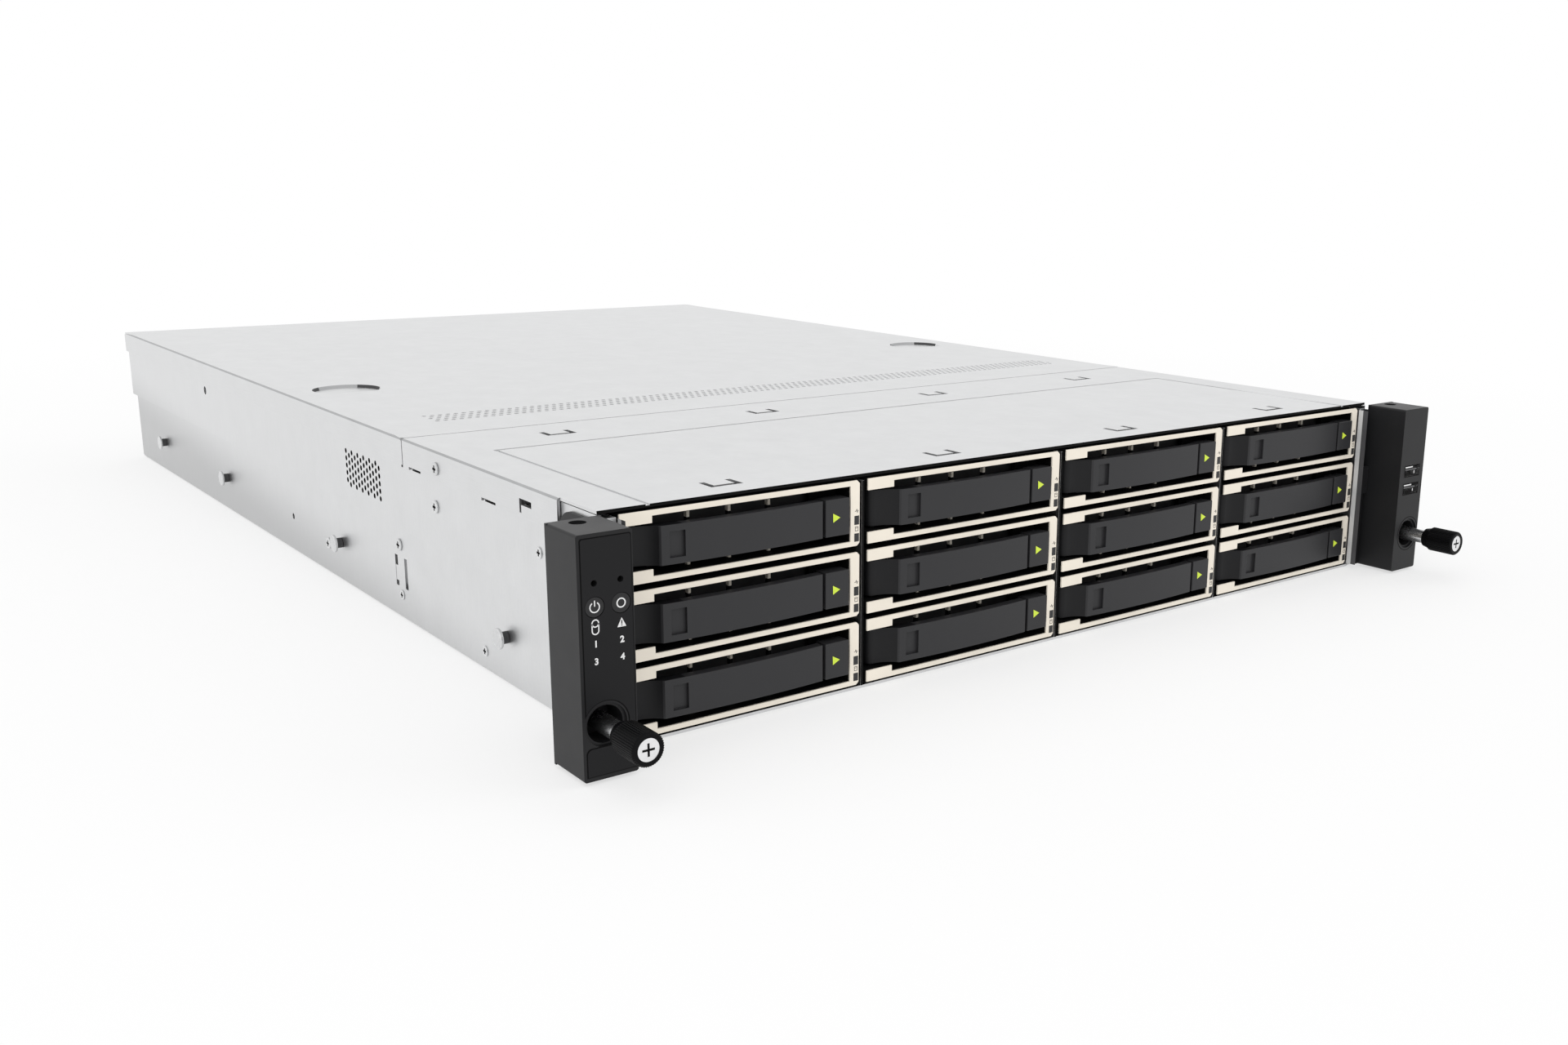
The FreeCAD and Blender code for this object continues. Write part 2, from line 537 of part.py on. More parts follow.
def lever():
    """The ejector lever: a knuckle round the hinge pin, a hollowed heel and a straight front."""
    front = "-lever_proud"
    back = "lever_thick - lever_proud"
    shape = [("lever_step", front, "lever_hollow", 1), ("lever_end", front), ("lever_end", back),
             ("lever_root", back), ("knuckle_x", "knuckle_y + knuckle_radius"),
             ("knuckle_x - knuckle_radius", "knuckle_y", "knuckle_radius", -1),
             ("knuckle_x", "knuckle_y - knuckle_radius", "knuckle_radius", -1)]
    arm = solid("LeverArm", "XY_Plane", shape, "lever_tall", LEVER_LOW, turned=False)
    bore = rod("LeverBore", "z", "knuckle_x", "knuckle_y", f"{LEVER_LOW} - overcut", "hinge_pin + run_gap",
               "lever_tall + 2 * overcut")
    finger = box("FingerRecess", "finger_left", "-lever_proud - overcut", "(carrier_tall - finger_tall) / 2",
                 "finger_wide", "finger_sink + overcut", "finger_tall")
    return cut("Lever", arm, [bore, finger])


def latch_button():
    """The button beside the lever's free end, hollow behind where the guide post runs."""
    block = box("LatchBlock", "latch_left", "-lever_proud", LEVER_LOW, "latch_wide", "latch_thick",
                "lever_tall")
    side = "(latch_post + 2 * run_gap)"
    bore = box("LatchBore", f"latch_left + (latch_wide - {side}) / 2", "latch_skin - lever_proud",
               f"(carrier_tall - {side}) / 2", side, "latch_thick", side)
    return cut("LatchButton", block, [bore])


def drive_bays():
    """Twelve carriers with their levers and buttons, numbered along each row from the top left."""
    patterns = (("carrier", carrier()), ("lever", lever()), ("latch_button", latch_button()))
    for row in range(3):
        for column in range(4):
            number = row * 4 + column + 1
            left = f"({column} - 2) * bay_pitch + (bay_pitch - carrier_wide) / 2"
            up = f"bay_low + {2 - row} * bay_rise"
            for word, pattern in patterns:
                node(copy(f"{word.title()}{number}", pattern), f"{word}_{number:02d}", left, "0", up)


# ---------------------------------------------------------------- rack ears

def ear_blank():
    """The right ear before its holes: a moulded box on a folded steel bracket that lies on the wall."""
    inner, outer = UPPER_HALF, "(ears_wide / 2)"
    low, high, turn = "ear_low", "(ear_low + ear_tall)", "ear_round"
    face = [(f"{outer} - {turn}", low), (outer, f"{low} + {turn}", turn, -1), (outer, f"{high} - {turn}"),
            (f"{outer} - {turn}", high, turn, -1), (f"{inner} + {turn}", high),
            (inner, f"{high} - {turn}", turn, -1), (inner, f"{low} + {turn}"),
            (f"{inner} + {turn}", low, turn, -1)]
    housing = solid("EarHousing", "XZ_Plane", face, "ear_front - ear_back - sheet_thick", "ear_front")
    plate_front = "(-ear_back - sheet_thick)"
    plate = [(outer, low), (outer, high), (UPPER_HALF, high)] + joggled_wall(1, "0", "0")[1::-1]
    back_plate = solid("EarPlate", "XZ_Plane", plate + [(LOWER_HALF, low)], "sheet_thick", f"-{plate_front}")
    strip = [(LOWER_HALF, low), (f"{LOWER_HALF} + sheet_thick", low)] + joggled_wall(1, "sheet_thick", "0")
    strip += joggled_wall(1, "0", "0")[::-1]
    side = solid("EarStrip", "XZ_Plane", strip, f"plate_back - {plate_front}", f"-{plate_front}")
    edge = [(plate_front, low), ("plate_back - plate_chamfer", low), ("plate_back", f"{low} + plate_chamfer"),
            ("plate_back", "plate_top - plate_round"),
            ("plate_back - plate_round", "plate_top", "plate_round", -1), (plate_front, "plate_top")]
    trim = solid("EarTrim", "YZ_Plane", edge, "chassis_wide", turned=False)
    shaped = doc.addObject("Part::Common", "EarSide")
    shaped.Base = side
    shaped.Tool = trim
    return fuse("EarBlank", [housing, back_plate, shaped])


def screw_seat(side, sign):
    """The stepped recess and bore that a thumbscrew runs in."""
    spot = f"{sign} * screw_out"
    front = "-ear_front - overcut"
    return [rod(f"Lip{side}", "y", spot, front, "screw_up", "lip_radius", "lip_deep + overcut"),
            rod(f"Cup{side}", "y", spot, front, "screw_up", "cup_radius", "cup_deep + overcut"),
            rod(f"Bore{side}", "y", spot, front, "screw_up", "sleeve_radius + run_gap",
                "ear_front + 2 * overcut"),
            rod(f"TopScrew{side}", "z", f"{sign} * top_screw_out", "-top_screw_back",
                "ear_low + ear_tall - top_screw_sink", "top_screw", "top_screw_sink + overcut")]


def ear_tab(side, start, low, tall):
    """The short tab on an ear's inner side that covers the cage's front flange."""
    return box(f"EarTab{side}", start, "-ear_back - sheet_thick - tab_thick", low, "tab_reach", "tab_thick",
               tall)


def left_ear(blank):
    """The ear with the two buttons and two pinholes."""
    body = fuse("LeftEarWhole", [mirror("LeftBlank", blank),
                                 ear_tab("Left", f"-{UPPER_HALF}", "left_tab_low", "left_tab_tall")])
    tools = screw_seat("Left", "-1")
    depth = "button_thick - button_proud + button_travel + button_spare"
    for name, out in (("Power", "power_out"), ("Id", "id_out")):
        tools.append(rod(f"{name}Hole", "y", f"-{out}", "-ear_front - overcut", "button_up",
                         "button_radius + button_gap", f"{depth} + overcut"))
        tools.append(rod(f"{name}Pinhole", "y", f"-{out}", "-ear_front - overcut", "pinhole_up",
                         "pinhole_radius", "pinhole_deep + overcut"))
    return node(cut("LeftEar", body, tools), "left_ear")


def right_ear(blank):
    """The ear with the two sockets."""
    body = fuse("RightEarWhole", [blank, ear_tab("Right", f"{UPPER_HALF} - tab_reach", "right_tab_low",
                                                 "right_tab_tall")])
    pocket = [usb_block(f"UsbPocket{index}", index, "0", "ear_front + overcut", "usb_deep + overcut")
              for index in range(2)]
    return node(cut("RightEar", body, screw_seat("Right", "1") + pocket), "right_ear")


def usb_block(name, index, wall, start, deep):
    """The outside of one socket, or its inside when wall is the shell's thickness."""
    return box(name, f"usb_out - usb_wide / 2 + {wall}", f"-({start})",
               f"usb_up - {index} * usb_drop - usb_tall / 2 + {wall}", f"usb_wide - 2 * {wall}", deep,
               f"usb_tall - 2 * {wall}")


def usb_ports():
    """Two bright metal shells in the right ear, open at the front."""
    shells = []
    for index in range(2):
        outside = usb_block(f"UsbShell{index}", index, "0", "ear_front + usb_proud", "usb_deep + usb_proud")
        inside = usb_block(f"UsbMouth{index}", index, "usb_wall", "ear_front + usb_proud + overcut",
                           "usb_deep + usb_proud + overcut - usb_wall")
        shells.append(cut(f"UsbPort{index}", outside, [inside]))
    return node(group("UsbPorts", shells), "usb_ports")


def ear_button(name, label, out):
    """A round push button in the left ear."""
    cap = rod(name, "y", "0", "-ear_front - button_proud", "0", "button_radius", "button_thick")
    return node(group(f"{name}Piece", [cap]), label, f"-{out}", "0", "button_up")


def thumbscrew_sleeve():
    """The sleeve that slides in the ear's bore, on the thumbscrew's axis."""
    start = "(cover_gap - ear_front - shank_shown)"
    length = "shank_shown - cover_gap + sleeve_in"
    return cut("Sleeve", rod("SleeveOutside", "y", "0", start, "0", "sleeve_radius", length),
               [rod("SleeveBore", "y", "0", f"{start} - overcut", "0", "shank_radius + run_gap",
                    f"{length} + 2 * overcut")])


def thumbscrew():
    """The knob and its screw, on the thumbscrew's axis."""
    tip = f"-{KNOB_TIP}"
    grip = rod("KnobGrip", "y", "0", tip, "0", "knob_radius", "knob_long - knob_taper")
    neck = cone("KnobNeck", "y", "0", f"{tip} + knob_long - knob_taper", "0", "knob_radius", "knob_neck",
                "knob_taper")
    back = "(-ear_front - shank_shown)"
    thread = "(thread_gap - ear_back)"
    shank = rod("KnobShank", "y", "0", back, "0", "shank_radius", f"{thread} - {back}")
    end = rod("KnobThread", "y", "0", thread, "0", "thread_radius", "thread_out - thread_gap")
    disc = rod("KnobFace", "y", "0", f"{tip} - overcut", "0", "face_disc", "face_sink + overcut")
    return cut("Thumbscrew", fuse("ThumbscrewWhole", [grip, neck, shank, end]), [disc])


def thumbscrews():
    """A sleeve and a knob on each side."""
    sleeve, knob = thumbscrew_sleeve(), thumbscrew()
    for side, sign in (("left", "-1"), ("right", "1")):
        spot = f"{sign} * screw_out"
        node(copy(f"{side.title()}Sleeve", sleeve), f"{side}_sleeve", spot, "0", "screw_up")
        node(copy(f"{side.title()}Screw", knob), f"{side}_thumbscrew", spot, "0", "screw_up")


# ---------------------------------------------------------------- inside

def backplane():
    """The board behind the bays with one socket for each drive."""
    half = "(2 * bay_pitch - sheet_thick)"
    pieces = [box("Board", f"-{half}", "cage_rear", "board_low", f"2 * {half}", "board_thick",
                  "board_top - board_low")]
    start = "(drive_front + drive_long + plug_gap)"
    socket = group("Socket", [box("SocketBlock", "-plug_wide / 2", start, "-plug_tall / 2", "plug_wide",
                                  f"cage_rear - {start}", "plug_tall")])
    for row in range(3):
        for column in range(4):
            pieces.append(copy(f"Socket{row}{column}", socket, f"({column} - 1.5) * bay_pitch", "0",
                               f"bay_low + carrier_tall / 2 + {row} * bay_rise"))
    return node(group("Backplane", pieces), "backplane")


def fan_frame():
    """A square fan housing with a round duct, two crossed rear arms and the rotor's axle."""
    centre = "(sheet_thick + fan_side / 2)"
    block = box("FanBlock", "-fan_side / 2", "fan_front", "sheet_thick", "fan_side", "fan_deep", "fan_side")
    duct = rod("FanDuct", "y", "0", "fan_front - overcut", centre, "fan_bore", "fan_deep + 2 * overcut")
    arm_y = "(fan_front + fan_deep - fan_arm_thick)"
    arms = [box("FanArmLevel", "-fan_bore - overcut", arm_y, f"{centre} - fan_arm / 2",
                "2 * fan_bore + 2 * overcut", "fan_arm_thick", "fan_arm"),
            box("FanArmUpright", "-fan_arm / 2", arm_y, f"{centre} - fan_bore - overcut", "fan_arm",
                "fan_arm_thick", "2 * fan_bore + 2 * overcut"),
            rod("FanAxle", "y", "0", "fan_front + overcut", centre, "fan_axle",
                f"{arm_y} - fan_front - overcut")]
    return fuse("FanFrame", [cut("FanHousing", block, [duct])] + arms)


def fan_rotor():
    """A hub with five pitched blades, shaped in code because the blades are turned about two axes."""
    centre = FreeCAD.Vector(0, value("fan_front + overcut"), value("sheet_thick + fan_side / 2"))
    along = FreeCAD.Vector(0, 1, 0)
    whole = Part.makeCylinder(value("fan_hub"), value("hub_long"), centre, along)
    chord, thick = value("blade_chord"), value("blade_thick")
    for index in range(5):
        blade = Part.makeBox(value("blade_reach"), chord, thick, FreeCAD.Vector(0, -chord / 2, -thick / 2))
        blade.rotate(FreeCAD.Vector(), FreeCAD.Vector(1, 0, 0), value("blade_pitch"))
        blade.rotate(FreeCAD.Vector(), along, index * 360 / 5)
        blade.translate(centre + along * value("hub_long / 2"))
        whole = whole.fuse(blade)
    axle = Part.makeCylinder(value("fan_axle + run_gap"), value("hub_long"), centre, along)
    rotor = doc.addObject("Part::Feature", "FanRotor")
    rotor.Shape = whole.cut(axle).removeSplitter()
    return rotor


def fans():
    """Four fans side by side on the base, each with a rotor of its own."""
    frame, rotor = fan_frame(), fan_rotor()
    spots = [f"({index} - 1.5) * fan_pitch" for index in range(4)]
    node(group("Fans", [copy(f"Fan{index}", frame, spot) for index, spot in enumerate(spots)]), "fan_frames")
    for index, spot in enumerate(spots):
        node(copy(f"Rotor{index}", rotor), f"fan_rotor_{index + 1}", spot)


def heatsink():
    """A finned processor cooler standing on the board, centred in X."""
    low = "(main_up + board_thick)"
    pieces = [box("SinkFoot", "-cooler_wide / 2", "main_front + cooler_inset", low, "cooler_wide",
                  "cooler_long", "cooler_foot")]
    for index in range(10):
        pieces.append(box(f"Fin{index}", f"-cooler_wide / 2 + {index} * (cooler_wide - fin_thick) / 9",
                          "main_front + cooler_inset",
                          f"{low} + cooler_foot", "fin_thick", "cooler_long", "cooler_tall - cooler_foot"))
    return fuse("Heatsink", pieces)


def main_board():
    """The board on its square pillars, with two coolers and the memory beside them."""
    pieces = [box("MainBoard", "-main_wide / 2", "main_front", "main_up", "main_wide", "main_rear - main_front",
                  "board_thick")]
    for index, (side, back) in enumerate(((-1, "main_front + pillar_inset"), (1, "main_front + pillar_inset"),
                                          (-1, "main_rear - pillar_inset - pillar_side"),
                                          (1, "main_rear - pillar_inset - pillar_side"))):
        pieces.append(box(f"Pillar{index}", f"{side} * (main_wide / 2 - pillar_inset) - pillar_side / 2", back,
                          "sheet_thick", "pillar_side", "pillar_side", "main_up - sheet_thick"))
    sink = heatsink()
    pieces += [copy("SinkLeft", sink, "-cooler_out"), copy("SinkRight", sink, "cooler_out")]
    for side in (-1, 1):
        for index in range(4):
            out = f"(cooler_out + cooler_wide / 2 + memory_pitch * {index + 1})"
            pieces.append(box(f"Memory{side + 1}{index}", f"{side} * {out} - memory_thick / 2",
                              "main_front + overcut",
                              "main_up + board_thick", "memory_thick", "memory_long", "memory_tall"))
    return node(group("MainBoardWhole", pieces), "main_board")


# ---------------------------------------------------------------- power supplies

def power_supply():
    """A plug-in supply: its case, the power inlet's recess and a looped handle."""
    left = "(supply_right - supply_wide)"
    case = box("SupplyCase", left, "chassis_rear - supply_long", "supply_low", "supply_wide", "supply_long",
               "supply_tall")
    inlet = box("Inlet", f"{left} + inlet_left", "chassis_rear - inlet_deep", "supply_low + inlet_up",
                "inlet_wide", "inlet_deep + overcut", "inlet_tall")
    foot = "(supply_low + (supply_tall - handle_tall) / 2)"
    loop = box("Handle", f"{left} + handle_left", "chassis_rear", foot, "handle_wide", "handle_reach",
               "handle_tall")
    window = box("HandleWindow", f"{left} + handle_left - overcut", "chassis_rear", f"{foot} + handle_thick",
                 "handle_wide + 2 * overcut", "handle_reach - handle_thick", "handle_tall - 2 * handle_thick")
    return fuse("Supply", [cut("SupplyOpen", case, [inlet]), cut("HandleLoop", loop, [window])])


def power_supplies():
    """Two supplies side by side at the rear."""
    pattern = power_supply()
    for index in range(2):
        node(copy(f"Supply{index}", pattern), f"power_supply_{index + 1}", f"-{index} * supply_step")


# ---------------------------------------------------------------- assembly and files

def check_and_write():
    """Refuse a failed object or a bad shape, then write one file for each piece."""
    doc.recompute()
    for thing in doc.Objects:
        if "Invalid" in thing.State or "Error" in thing.State:
            raise RuntimeError(f"{thing.Name} ({thing.Label}) failed: {thing.State}")
    for piece in nodes:
        if piece.Shape.isNull() or not piece.Shape.isValid():
            raise RuntimeError(f"{piece.Label} has no valid shape")
    os.makedirs("parts", exist_ok=True)
    for piece in nodes:
        piece.Shape.exportStep(f"parts/{piece.Label}.step")
        print(piece.Label, len(piece.Shape.Solids), "solids", round(piece.Shape.Volume))


chassis()
front_cover()
main_cover()
rail_studs()
chassis_screws()
drive_cage()
drive_bays()
ear_pattern = ear_blank()
left_ear(ear_pattern)
right_ear(ear_pattern)
usb_ports()
ear_button("PowerButton", "power_button", "power_out")
ear_button("IdButton", "id_button", "id_out")
thumbscrews()
backplane()
fans()
main_board()
power_supplies()
check_and_write()
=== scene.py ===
import math

import bmesh
import bpy
from mathutils import Matrix, Vector


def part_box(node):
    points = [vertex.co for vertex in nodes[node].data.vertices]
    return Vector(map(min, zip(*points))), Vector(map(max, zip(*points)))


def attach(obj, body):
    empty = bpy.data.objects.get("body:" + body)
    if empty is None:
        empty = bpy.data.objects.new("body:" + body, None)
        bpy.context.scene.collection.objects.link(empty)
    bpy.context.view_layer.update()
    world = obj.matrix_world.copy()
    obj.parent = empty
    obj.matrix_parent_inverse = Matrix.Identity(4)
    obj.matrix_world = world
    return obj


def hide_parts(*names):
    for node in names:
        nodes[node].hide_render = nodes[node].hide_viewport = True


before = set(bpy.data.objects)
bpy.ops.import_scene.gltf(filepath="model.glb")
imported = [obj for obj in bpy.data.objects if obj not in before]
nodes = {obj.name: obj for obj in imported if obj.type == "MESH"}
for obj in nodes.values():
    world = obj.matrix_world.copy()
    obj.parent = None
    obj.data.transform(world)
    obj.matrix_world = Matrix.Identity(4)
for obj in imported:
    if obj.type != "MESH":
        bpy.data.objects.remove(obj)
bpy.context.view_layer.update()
collection = bpy.context.scene.collection
MM = 0.001

# Camera: it stands in front of the left ear, a little above the covers, and looks along the
# drive bays towards the rear right corner. The lens's axis passes right of the picture's middle.
EYE_FROM_BAYS = Vector((-0.4502, -0.4460, 0.1996))
LOOK_RIGHT = 0.677
LOOK_DOWN = 0.237
ROLL = 0.013
LENS_MM = 34.2
BAYS_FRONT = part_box("carrier_01")[0].y

look = Vector((math.sin(LOOK_RIGHT) * math.cos(LOOK_DOWN), math.cos(LOOK_RIGHT) * math.cos(LOOK_DOWN),
               -math.sin(LOOK_DOWN)))
level = Vector((math.cos(LOOK_RIGHT), -math.sin(LOOK_RIGHT), 0))
upward = level.cross(look)
side = level * math.cos(ROLL) + upward * math.sin(ROLL)
top = upward * math.cos(ROLL) - level * math.sin(ROLL)
eye = EYE_FROM_BAYS + Vector((0, BAYS_FRONT, 0))
camera_data = bpy.data.cameras.new("camera")
camera_data.lens = LENS_MM
camera_data.sensor_width = 36
camera_data.shift_x = -0.0712
camera_data.shift_y = 0.0070
camera_data.clip_end = 60
camera = bpy.data.objects.new("camera", camera_data)
camera.matrix_world = Matrix(((side.x, top.x, -look.x, eye.x), (side.y, top.y, -look.y, eye.y),
                              (side.z, top.z, -look.z, eye.z), (0, 0, 0, 1)))
collection.objects.link(camera)
bpy.context.scene.camera = camera
bpy.context.scene.view_settings.view_transform = "Standard"


# Studio: a pale floor that fades into a white surround, four soft lamps above and around, and an
# even white world that bare metal mirrors.
def shader(name):
    """A new material, its node tree and its Principled shader."""
    material = bpy.data.materials.new(name)
    material.use_nodes = True
    tree = material.node_tree
    return material, tree, tree.nodes["Principled BSDF"]


def feed(tree, node, **settings):
    """Set a node's inputs, by name or as _index, to a value or to the (node, output) that feeds them."""
    for word, setting in settings.items():
        target = node.inputs[int(word[1:]) if word[0] == "_" else word.replace("_", " ")]
        if isinstance(setting, tuple) and isinstance(setting[0], bpy.types.Node):
            tree.links.new(setting[0].outputs[setting[1]], target)
        else:
            target.default_value = setting


def add(tree, kind, **settings):
    """A new shader node with its properties set and its inputs fed."""
    made = tree.nodes.new(f"ShaderNode{kind}")
    for word in [word for word in settings if word in made.bl_rna.properties]:
        setattr(made, word, settings.pop(word))
    feed(tree, made, **settings)
    return made


WORLD_FILL = 0.62
FLOOR_PALE = (0.95, 0.95, 0.95, 1)
FLOOR_CLEAR = (0.30, 1.1)
FLOOR_GLOW = 0.6

world = bpy.data.worlds.new("surround")
world.use_nodes = True
bpy.context.scene.world = world
tree = world.node_tree
tree.nodes.clear()
path = add(tree, "LightPath")
seen = add(tree, "Math", operation="MAXIMUM", _0=(path, "Is Camera Ray"), _1=(path, "Is Glossy Ray"))
seen = add(tree, "Math", operation="MAXIMUM", _0=(seen, 0), _1=(path, "Is Transmission Ray"))
plain = add(tree, "Background", Color=(1, 1, 1, 1), Strength=WORLD_FILL)
white = add(tree, "Background", Color=(1, 1, 1, 1), Strength=1.0)
blend = add(tree, "MixShader", _0=(seen, 0), _1=(plain, 0), _2=(white, 0))
add(tree, "OutputWorld", Surface=(blend, 0))

floor_material, tree, skin = shader("studio_floor")
feed(tree, skin, Base_Color=FLOOR_PALE, Roughness=0.9, Specular_IOR_Level=0.0)
glow = add(tree, "Emission", Color=(1, 1, 1, 1), Strength=1.0)
where = add(tree, "TexCoord")
far = add(tree, "VectorMath", operation="LENGTH", _0=(where, "Object"))
fade = add(tree, "MapRange", interpolation_type="SMOOTHSTEP", Value=(far, "Value"), From_Min=FLOOR_CLEAR[0],
           From_Max=FLOOR_CLEAR[1], To_Min=FLOOR_GLOW)
mix = add(tree, "MixShader", _0=(fade, 0), _1=(skin, 0), _2=(glow, 0))
feed(tree, tree.nodes["Material Output"], Surface=(mix, 0))
mesh = bmesh.new()
bmesh.ops.create_grid(mesh, x_segments=1, y_segments=1, size=20)
floor_mesh = bpy.data.meshes.new("floor")
mesh.to_mesh(floor_mesh)
mesh.free()
floor = bpy.data.objects.new("floor", floor_mesh)
floor.data.materials.append(floor_material)
collection.objects.link(floor)


def softbox(name, spot, size, watts):
    """A square area lamp turned to face the object. Bare metal doesn't mirror it, so no top clips."""
    lamp = bpy.data.lights.new(name, "AREA")
    lamp.size = size
    lamp.energy = watts
    made = bpy.data.objects.new(name, lamp)
    made.location = spot
    made.visible_glossy = False
    made.rotation_euler = (-Vector(spot)).to_track_quat("-Z", "Y").to_euler()
    collection.objects.link(made)


softbox("key_lamp", (-1.6, -1.8, 2.4), 3.4, 30)
softbox("fill_lamp", (2.2, -1.6, 1.6), 2.2, 16)
softbox("top_lamp", (0, 0.6, 2.6), 3.0, 15)
softbox("side_lamp", (-2.6, 1.0, 1.4), 2.6, 12)


# Tray of the case: zinc-plated sheet steel, folded up at both sides with a long joggle, with the
# rear wall welded in. The plating has a faint cloudy spangle and fine rolling lines.
def effect(name, inputs, outputs):
    """An empty shader group with named sockets, and its input and output nodes."""
    group = bpy.data.node_groups.new(name, "ShaderNodeTree")
    for word, kind, usual in inputs:
        made = group.interface.new_socket(name=word, in_out="INPUT", socket_type=f"NodeSocket{kind}")
        made.default_value = usual
    for word, kind in outputs:
        group.interface.new_socket(name=word, in_out="OUTPUT", socket_type=f"NodeSocket{kind}")
    return group, group.nodes.new("NodeGroupInput"), group.nodes.new("NodeGroupOutput")


# Cloudy tone: two sizes of soft blotches that move a colour between a dull and a bright tone.
clouds, given, told = effect(
    "clouds", (("Dull", "Color", (0.5, 0.5, 0.5, 1)), ("Bright", "Color", (1, 1, 1, 1)),
               ("Size", "Float", 60.0), ("Fine Size", "Float", 900.0), ("Fine Share", "Float", 0.3)),
    (("Color", "Color"), ("Tone", "Float")))
where = add(clouds, "TexCoord")
large = add(clouds, "TexNoise", Vector=(where, "Object"), Scale=(given, "Size"), Detail=4.0, Roughness=0.55)
small = add(clouds, "TexNoise", Vector=(where, "Object"), Scale=(given, "Fine Size"), Detail=2.0,
            Roughness=0.5)
tone = add(clouds, "Mix", data_type="FLOAT", _0=(given, "Fine Share"), _2=(large, 0), _3=(small, 0))
spread = add(clouds, "MapRange", Value=(tone, 0), From_Min=0.3, From_Max=0.7)
tint = add(clouds, "Mix", data_type="RGBA", _0=(spread, 0), _6=(given, "Dull"), _7=(given, "Bright"))
feed(clouds, told, Color=(tint, 2), Tone=(spread, 0))

# Rolling or brushing lines: noise drawn out along one axis, as a mask and a height.
lines, given, told = effect(
    "drawn_lines", (("Stretch", "Vector", (1.0, 1.0, 1.0)), ("Contrast", "Float", 1.0)),
    (("Mask", "Float"), ("Height", "Float")))
where = add(lines, "TexCoord")
drawn = add(lines, "VectorMath", operation="MULTIPLY", _0=(where, "Object"), _1=(given, "Stretch"))
hair = add(lines, "TexNoise", Vector=(drawn, 0), Scale=1.0, Detail=3.0, Roughness=0.7)
centred = add(lines, "Math", operation="SUBTRACT", _0=(hair, 0), _1=0.5)
scaled = add(lines, "Math", operation="MULTIPLY", _0=(centred, 0), _1=(given, "Contrast"))
moved = add(lines, "Math", operation="ADD", _0=(scaled, 0), _1=0.5)
feed(lines, told, Mask=(moved, 0), Height=(hair, 0))

# Worn edges: where the rounded normal leaves the flat one, broken up by noise.
worn, given, told = effect(
    "worn_edges", (("Radius", "Float", 0.0004), ("Amount", "Float", 0.5), ("Break Size", "Float", 1500.0)),
    (("Mask", "Float"),))
rounded = add(worn, "Bevel", samples=4, Radius=(given, "Radius"))
flat = add(worn, "NewGeometry")
likeness = add(worn, "VectorMath", operation="DOT_PRODUCT", _0=(rounded, 0), _1=(flat, "Normal"))
edge = add(worn, "MapRange", Value=(likeness, "Value"), From_Min=0.995, From_Max=0.80)
where = add(worn, "TexCoord")
chips = add(worn, "TexNoise", Vector=(where, "Object"), Scale=(given, "Break Size"), Detail=3.0)
broken = add(worn, "Math", operation="MULTIPLY", _0=(edge, 0), _1=(chips, 0))
share = add(worn, "Math", operation="MULTIPLY", use_clamp=True, _0=(broken, 0), _1=(given, "Amount"))
feed(worn, told, Mask=(share, 0))

# Moulded grain: a fine even pebble for plastic skins.
grain, given, told = effect(
    "moulded_grain", (("Size", "Float", 3000.0),), (("Height", "Float"), ("Mask", "Float")))
where = add(grain, "TexCoord")
pebble = add(grain, "TexNoise", Vector=(where, "Object"), Scale=(given, "Size"), Detail=2.0, Roughness=0.6)
patch = add(grain, "TexNoise", Vector=(where, "Object"), Scale=90.0, Detail=2.0)
feed(grain, told, Height=(pebble, 0), Mask=(patch, 0))

# Painted shade by height: a mask that rises from 0 to 1 between two heights of the object, lower
# towards the front by the tilt, and dips at a line; where it is low the steel is darkened as painted shade.
painted_shade_by_height, given, told = effect(
    "painted_height_shade", (("Low", "Float", 0.0), ("High", "Float", 0.05), ("Line", "Float", 0.0),
                     ("Tilt", "Float", 0.08), ("Half", "Float", 0.0008), ("Depth", "Float", 0.8)),
    (("Mask", "Float"),))
where = add(painted_shade_by_height, "TexCoord")
axes = add(painted_shade_by_height, "SeparateXYZ", _0=(where, "Object"))
slope = add(painted_shade_by_height, "Math", operation="MULTIPLY", _0=(axes, "Y"), _1=(given, "Tilt"))
height = add(painted_shade_by_height, "Math", operation="SUBTRACT", _0=(axes, "Z"), _1=(slope, 0))
between = add(painted_shade_by_height, "MapRange", interpolation_type="SMOOTHSTEP", Value=(height, 0), From_Min=(given, "Low"),
              From_Max=(given, "High"))
away = add(painted_shade_by_height, "Math", operation="SUBTRACT", _0=(axes, "Z"), _1=(given, "Line"))
apart = add(painted_shade_by_height, "Math", operation="ABSOLUTE", _0=(away, 0))
dip = add(painted_shade_by_height, "MapRange", interpolation_type="SMOOTHSTEP", Value=(apart, 0), From_Max=(given, "Half"),
          To_Min=1.0, To_Max=0.0)
deepened = add(painted_shade_by_height, "Math", operation="MULTIPLY", _0=(dip, 0), _1=(given, "Depth"))
kept = add(painted_shade_by_height, "Math", operation="SUBTRACT", use_clamp=True, _0=(between, 0), _1=(deepened, 0))
feed(painted_shade_by_height, told, Mask=(kept, 0))


def scaled_colour(colour, share, more=0.0):
    """A colour with each channel multiplied and raised, at most 1."""
    return (*[min(1, channel * share + more) for channel in colour], 1)


